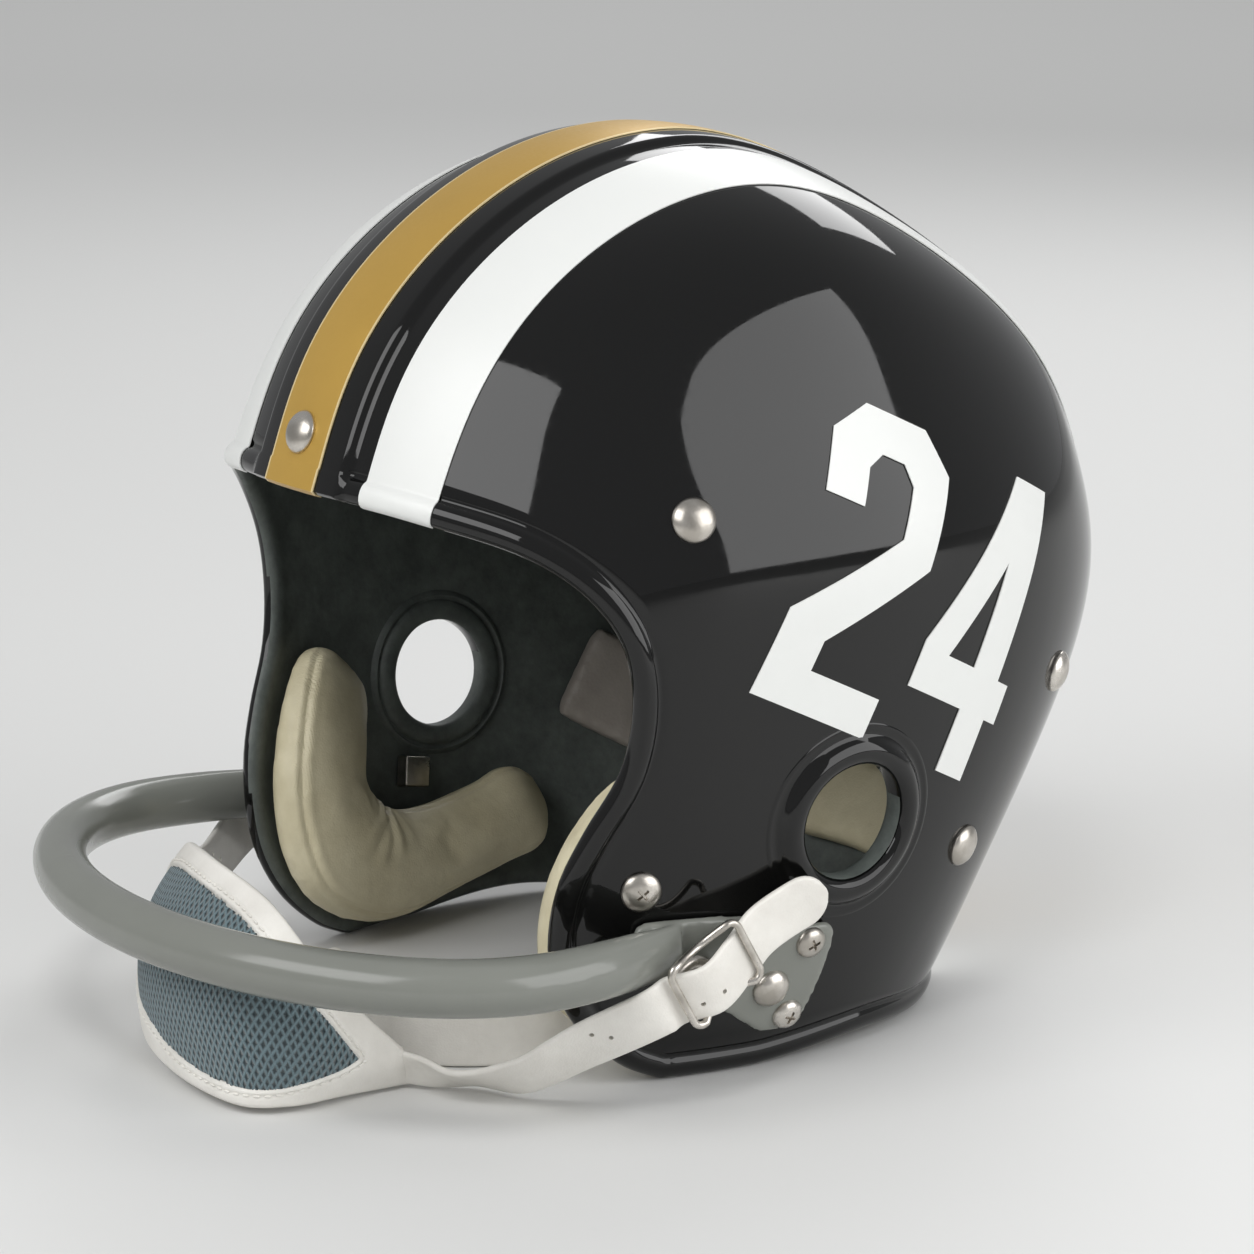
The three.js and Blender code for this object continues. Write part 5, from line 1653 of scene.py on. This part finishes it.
def strap_profile(half_width):
    """Closed section of a strap with rounded edges, as offsets across and through it."""
    flat = half_width - STRAP_EDGE
    half = STRAP_THICKNESS / 2
    points = [(flat * u, half) for u in np.linspace(-1, 1, FLAT_POINTS)]
    points += [(flat + STRAP_EDGE * math.sin(t), half * math.cos(t)) for t in ROUND_EDGE]
    points += [(flat * u, -half) for u in np.linspace(1, -1, FLAT_POINTS)]
    points += [(-flat - STRAP_EDGE * math.sin(t), -half * math.cos(t)) for t in ROUND_EDGE]
    return points


def strap(side, rows):
    """Strap that grows out of the cup's narrow end and closes in a round tab."""
    place, centre, across, through = strap_frame(side, rows)
    rings = []
    for k, at in enumerate(place):
        left = place[-1] - at
        grown = smooth_step(at, 0, STRAP_START_LENGTH)
        reach = (STRAP_START + (STRAP_WIDTH - STRAP_START) * grown) / 2
        if left < reach:
            reach = math.sqrt(max(reach ** 2 - (reach - left) ** 2, LEAST_TAB_REACH))
        ring = [centre[k] + across[k] * u + through[k] * v for u, v in strap_profile(reach)]
        rings.append(ring + ring[:1])
    return closed_body(np.array(rings))


def punch(piece, side, rows):
    """Cuts the small round holes through a strap."""
    place, centre, across, through = strap_frame(side, rows)
    bm = bmesh.new()
    for at, off in STRAP_HOLES:
        k = int(np.argmin(np.abs(place - at)))
        spot = Vector(centre[k] + across[k] * off) + TO_FRAME
        turn = Vector(through[k]).to_track_quat("Z", "Y").to_matrix().to_4x4()
        bmesh.ops.create_cone(bm, cap_ends=True, segments=HOLE_SIDES, radius1=HOLE_RADIUS,
                              radius2=HOLE_RADIUS, depth=HOLE_CUT,
                              matrix=Matrix.Translation(spot) @ turn)
    bmesh.ops.scale(bm, vec=(0.001, 0.001, 0.001), verts=bm.verts)
    cut_out(piece, bm)


for side_name, side, rows in (("left", 1, NEAR_STRAP), ("right", -1, FAR_STRAP)):
    leather = new_piece(f"chin_strap_{side_name}", strap(side, rows), white_leather)
    punch(leather, side, rows)
    leather.data.set_sharp_from_angle(angle=math.radians(50))
    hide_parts(f"strap_{side_name}")
    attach(leather, "root")

# Buckles and snaps: a nickel wire frame lies over each strap, with two hooked ends behind it,
# and a snap fastener between strap and plate. The wire is a round section swept round a path.
BUCKLE_CENTRE = (116.6, -53.2, 40.4)
BUCKLE_HALF = (12.5, 10.25)
BUCKLE_CORNER = 3
BUCKLE_WIRE = 1.1
BUCKLE_BEND = 3.5
BUCKLE_WAIST = 1.8
CORNER_STEPS = 6
DIP_STEPS = 10
WIRE_SIDES = 14
SNAP_CENTRE = (106.4, -53, 34)
SNAP_PROFILE = (
    (0, 2.5), (1.6, 2.45), (3.1, 2.2), (4.2, 1.7), (4.7, 1.2), (4.9, 0.75), (5.3, 0.7), (5.9, 1.1),
    (6.7, 1.5), (7.5, 1.45), (8.3, 1.0), (8.8, 0.45), (9.0, 0.0), (8.8, -0.1), (4.0, -0.1),
    (4.0, -1.9),
)


def closed_wire(places):
    """Round wire along a closed line of points."""
    run = unit(np.roll(places, -1, axis=0) - np.roll(places, 1, axis=0))
    aside = np.array((0.2, 0.3, 1.0))
    turns = np.linspace(0, 2 * math.pi, WIRE_SIDES, endpoint=False)
    rings = []
    for place, along in zip(places, run):
        aside = aside - along * np.dot(aside, along)
        aside = aside / np.linalg.norm(aside)
        other = np.cross(along, aside)
        rings.append([place + BUCKLE_WIRE * (aside * math.cos(t) + other * math.sin(t))
                      for t in turns])
    wire = loft(rings + rings[:1], closed_ends=False)
    bmesh.ops.remove_doubles(wire, verts=wire.verts, dist=MERGE)
    bmesh.ops.recalc_face_normals(wire, faces=wire.faces)
    return wire


def buckle_wire(side):
    """Rounded frame whose two upright sides dip behind the strap."""
    middle = np.array((side * BUCKLE_CENTRE[0], *BUCKLE_CENTRE[1:]))
    out = unit(np.array((side, -0.05, 0.0)))
    wide = np.array(PLATE_STRAP_ACROSS)
    wide = unit(wide - out * np.dot(wide, out))
    along = unit(np.cross(wide, out))
    straight, upright = BUCKLE_HALF[0] - BUCKLE_CORNER, BUCKLE_HALF[1] - BUCKLE_CORNER
    path = []
    for u, v, quarter in ((1, 1, 0), (-1, 1, 1), (-1, -1, 2), (1, -1, 3)):
        for step in range(CORNER_STEPS + 1):
            turn = (quarter + step / CORNER_STEPS) * math.pi / 2
            path.append((u * straight + BUCKLE_CORNER * math.cos(turn),
                         v * upright + BUCKLE_CORNER * math.sin(turn), 0))
        if quarter % 2 == 0:
            for share in np.linspace(0, 1, DIP_STEPS + 1)[1:-1]:
                dip = math.sin(math.pi * share)
                path.append((u * straight * (1 - 2 * share),
                             v * (BUCKLE_HALF[1] - BUCKLE_WAIST * dip), -BUCKLE_BEND * dip))
    return closed_wire(np.array([middle + along * u + wide * v + out * w for u, v, w in path]))


for side_name, side in SIDES:
    frame_wire = new_piece(f"buckle_wire_{side_name}", buckle_wire(side), nickel)
    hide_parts(f"buckle_{side_name}")
    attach(frame_wire, "root")
    fastener(f"snap_head_{side_name}", f"snap_{side_name}", SNAP_PROFILE,
             np.array((side * SNAP_CENTRE[0], *SNAP_CENTRE[1:])), (side, 0, 0))

# Inner band: a white leather band stood on edge inside the lower rim, from jaw to jaw. It is a
# strip with rounded edges swept along its line, and its end beside the far jaw pad sinks.
BAND_LINE = (
    (-61, -64), (-46, -80), (-18, -91), (14, -99), (36, -97), (50, -79), (56, -52),
    (60.5, -10), (63.5, 30), (46, 60), (0, 77), (-42, 66), (-66, 50), (-74, 40),
)
BAND_HALF_WIDTH = 9
BAND_THICKNESS = 2.4
BAND_FLOOR = 0.3
BAND_TAPER = 0.85
BAND_TAPER_LENGTH = 50
BAND_STEPS = 16
BAND_FACE_POINTS = 7


def band_strip():
    """Strip on its edge along the band's line, lower at the end that sinks."""
    line = plane_curve([(x, y, BAND_FLOOR + BAND_HALF_WIDTH) for x, y in BAND_LINE], BAND_STEPS)
    run = unit(np.gradient(line, axis=0))
    through = unit(np.cross(run, (0, 0, 1.0)))
    half = BAND_THICKNESS / 2
    face = np.linspace(-1, 1, BAND_FACE_POINTS) * (BAND_HALF_WIDTH - half)
    profile = [(half, w) for w in face]
    profile += [(half * math.cos(t), BAND_HALF_WIDTH - half + half * math.sin(t))
                for t in ROUND_EDGE]
    profile += [(-half, w) for w in face[::-1]]
    profile += [(-half * math.cos(t), -BAND_HALF_WIDTH + half - half * math.sin(t))
                for t in ROUND_EDGE]
    tall = 1 - BAND_TAPER * (1 - smooth_step(run_along(line), 0, BAND_TAPER_LENGTH))
    rings = []
    for place, out, share in zip(line, through, tall):
        low = (share - 1) * BAND_HALF_WIDTH
        ring = [place + out * u + np.array((0, 0, w * share + low)) for u, w in profile]
        rings.append(ring + ring[:1])
    return closed_body(np.array(rings))


band_piece = new_piece("leather_inner_band", band_strip(), white_leather, sharp_angle=60)
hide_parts("inner_band")
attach(band_piece, "root")
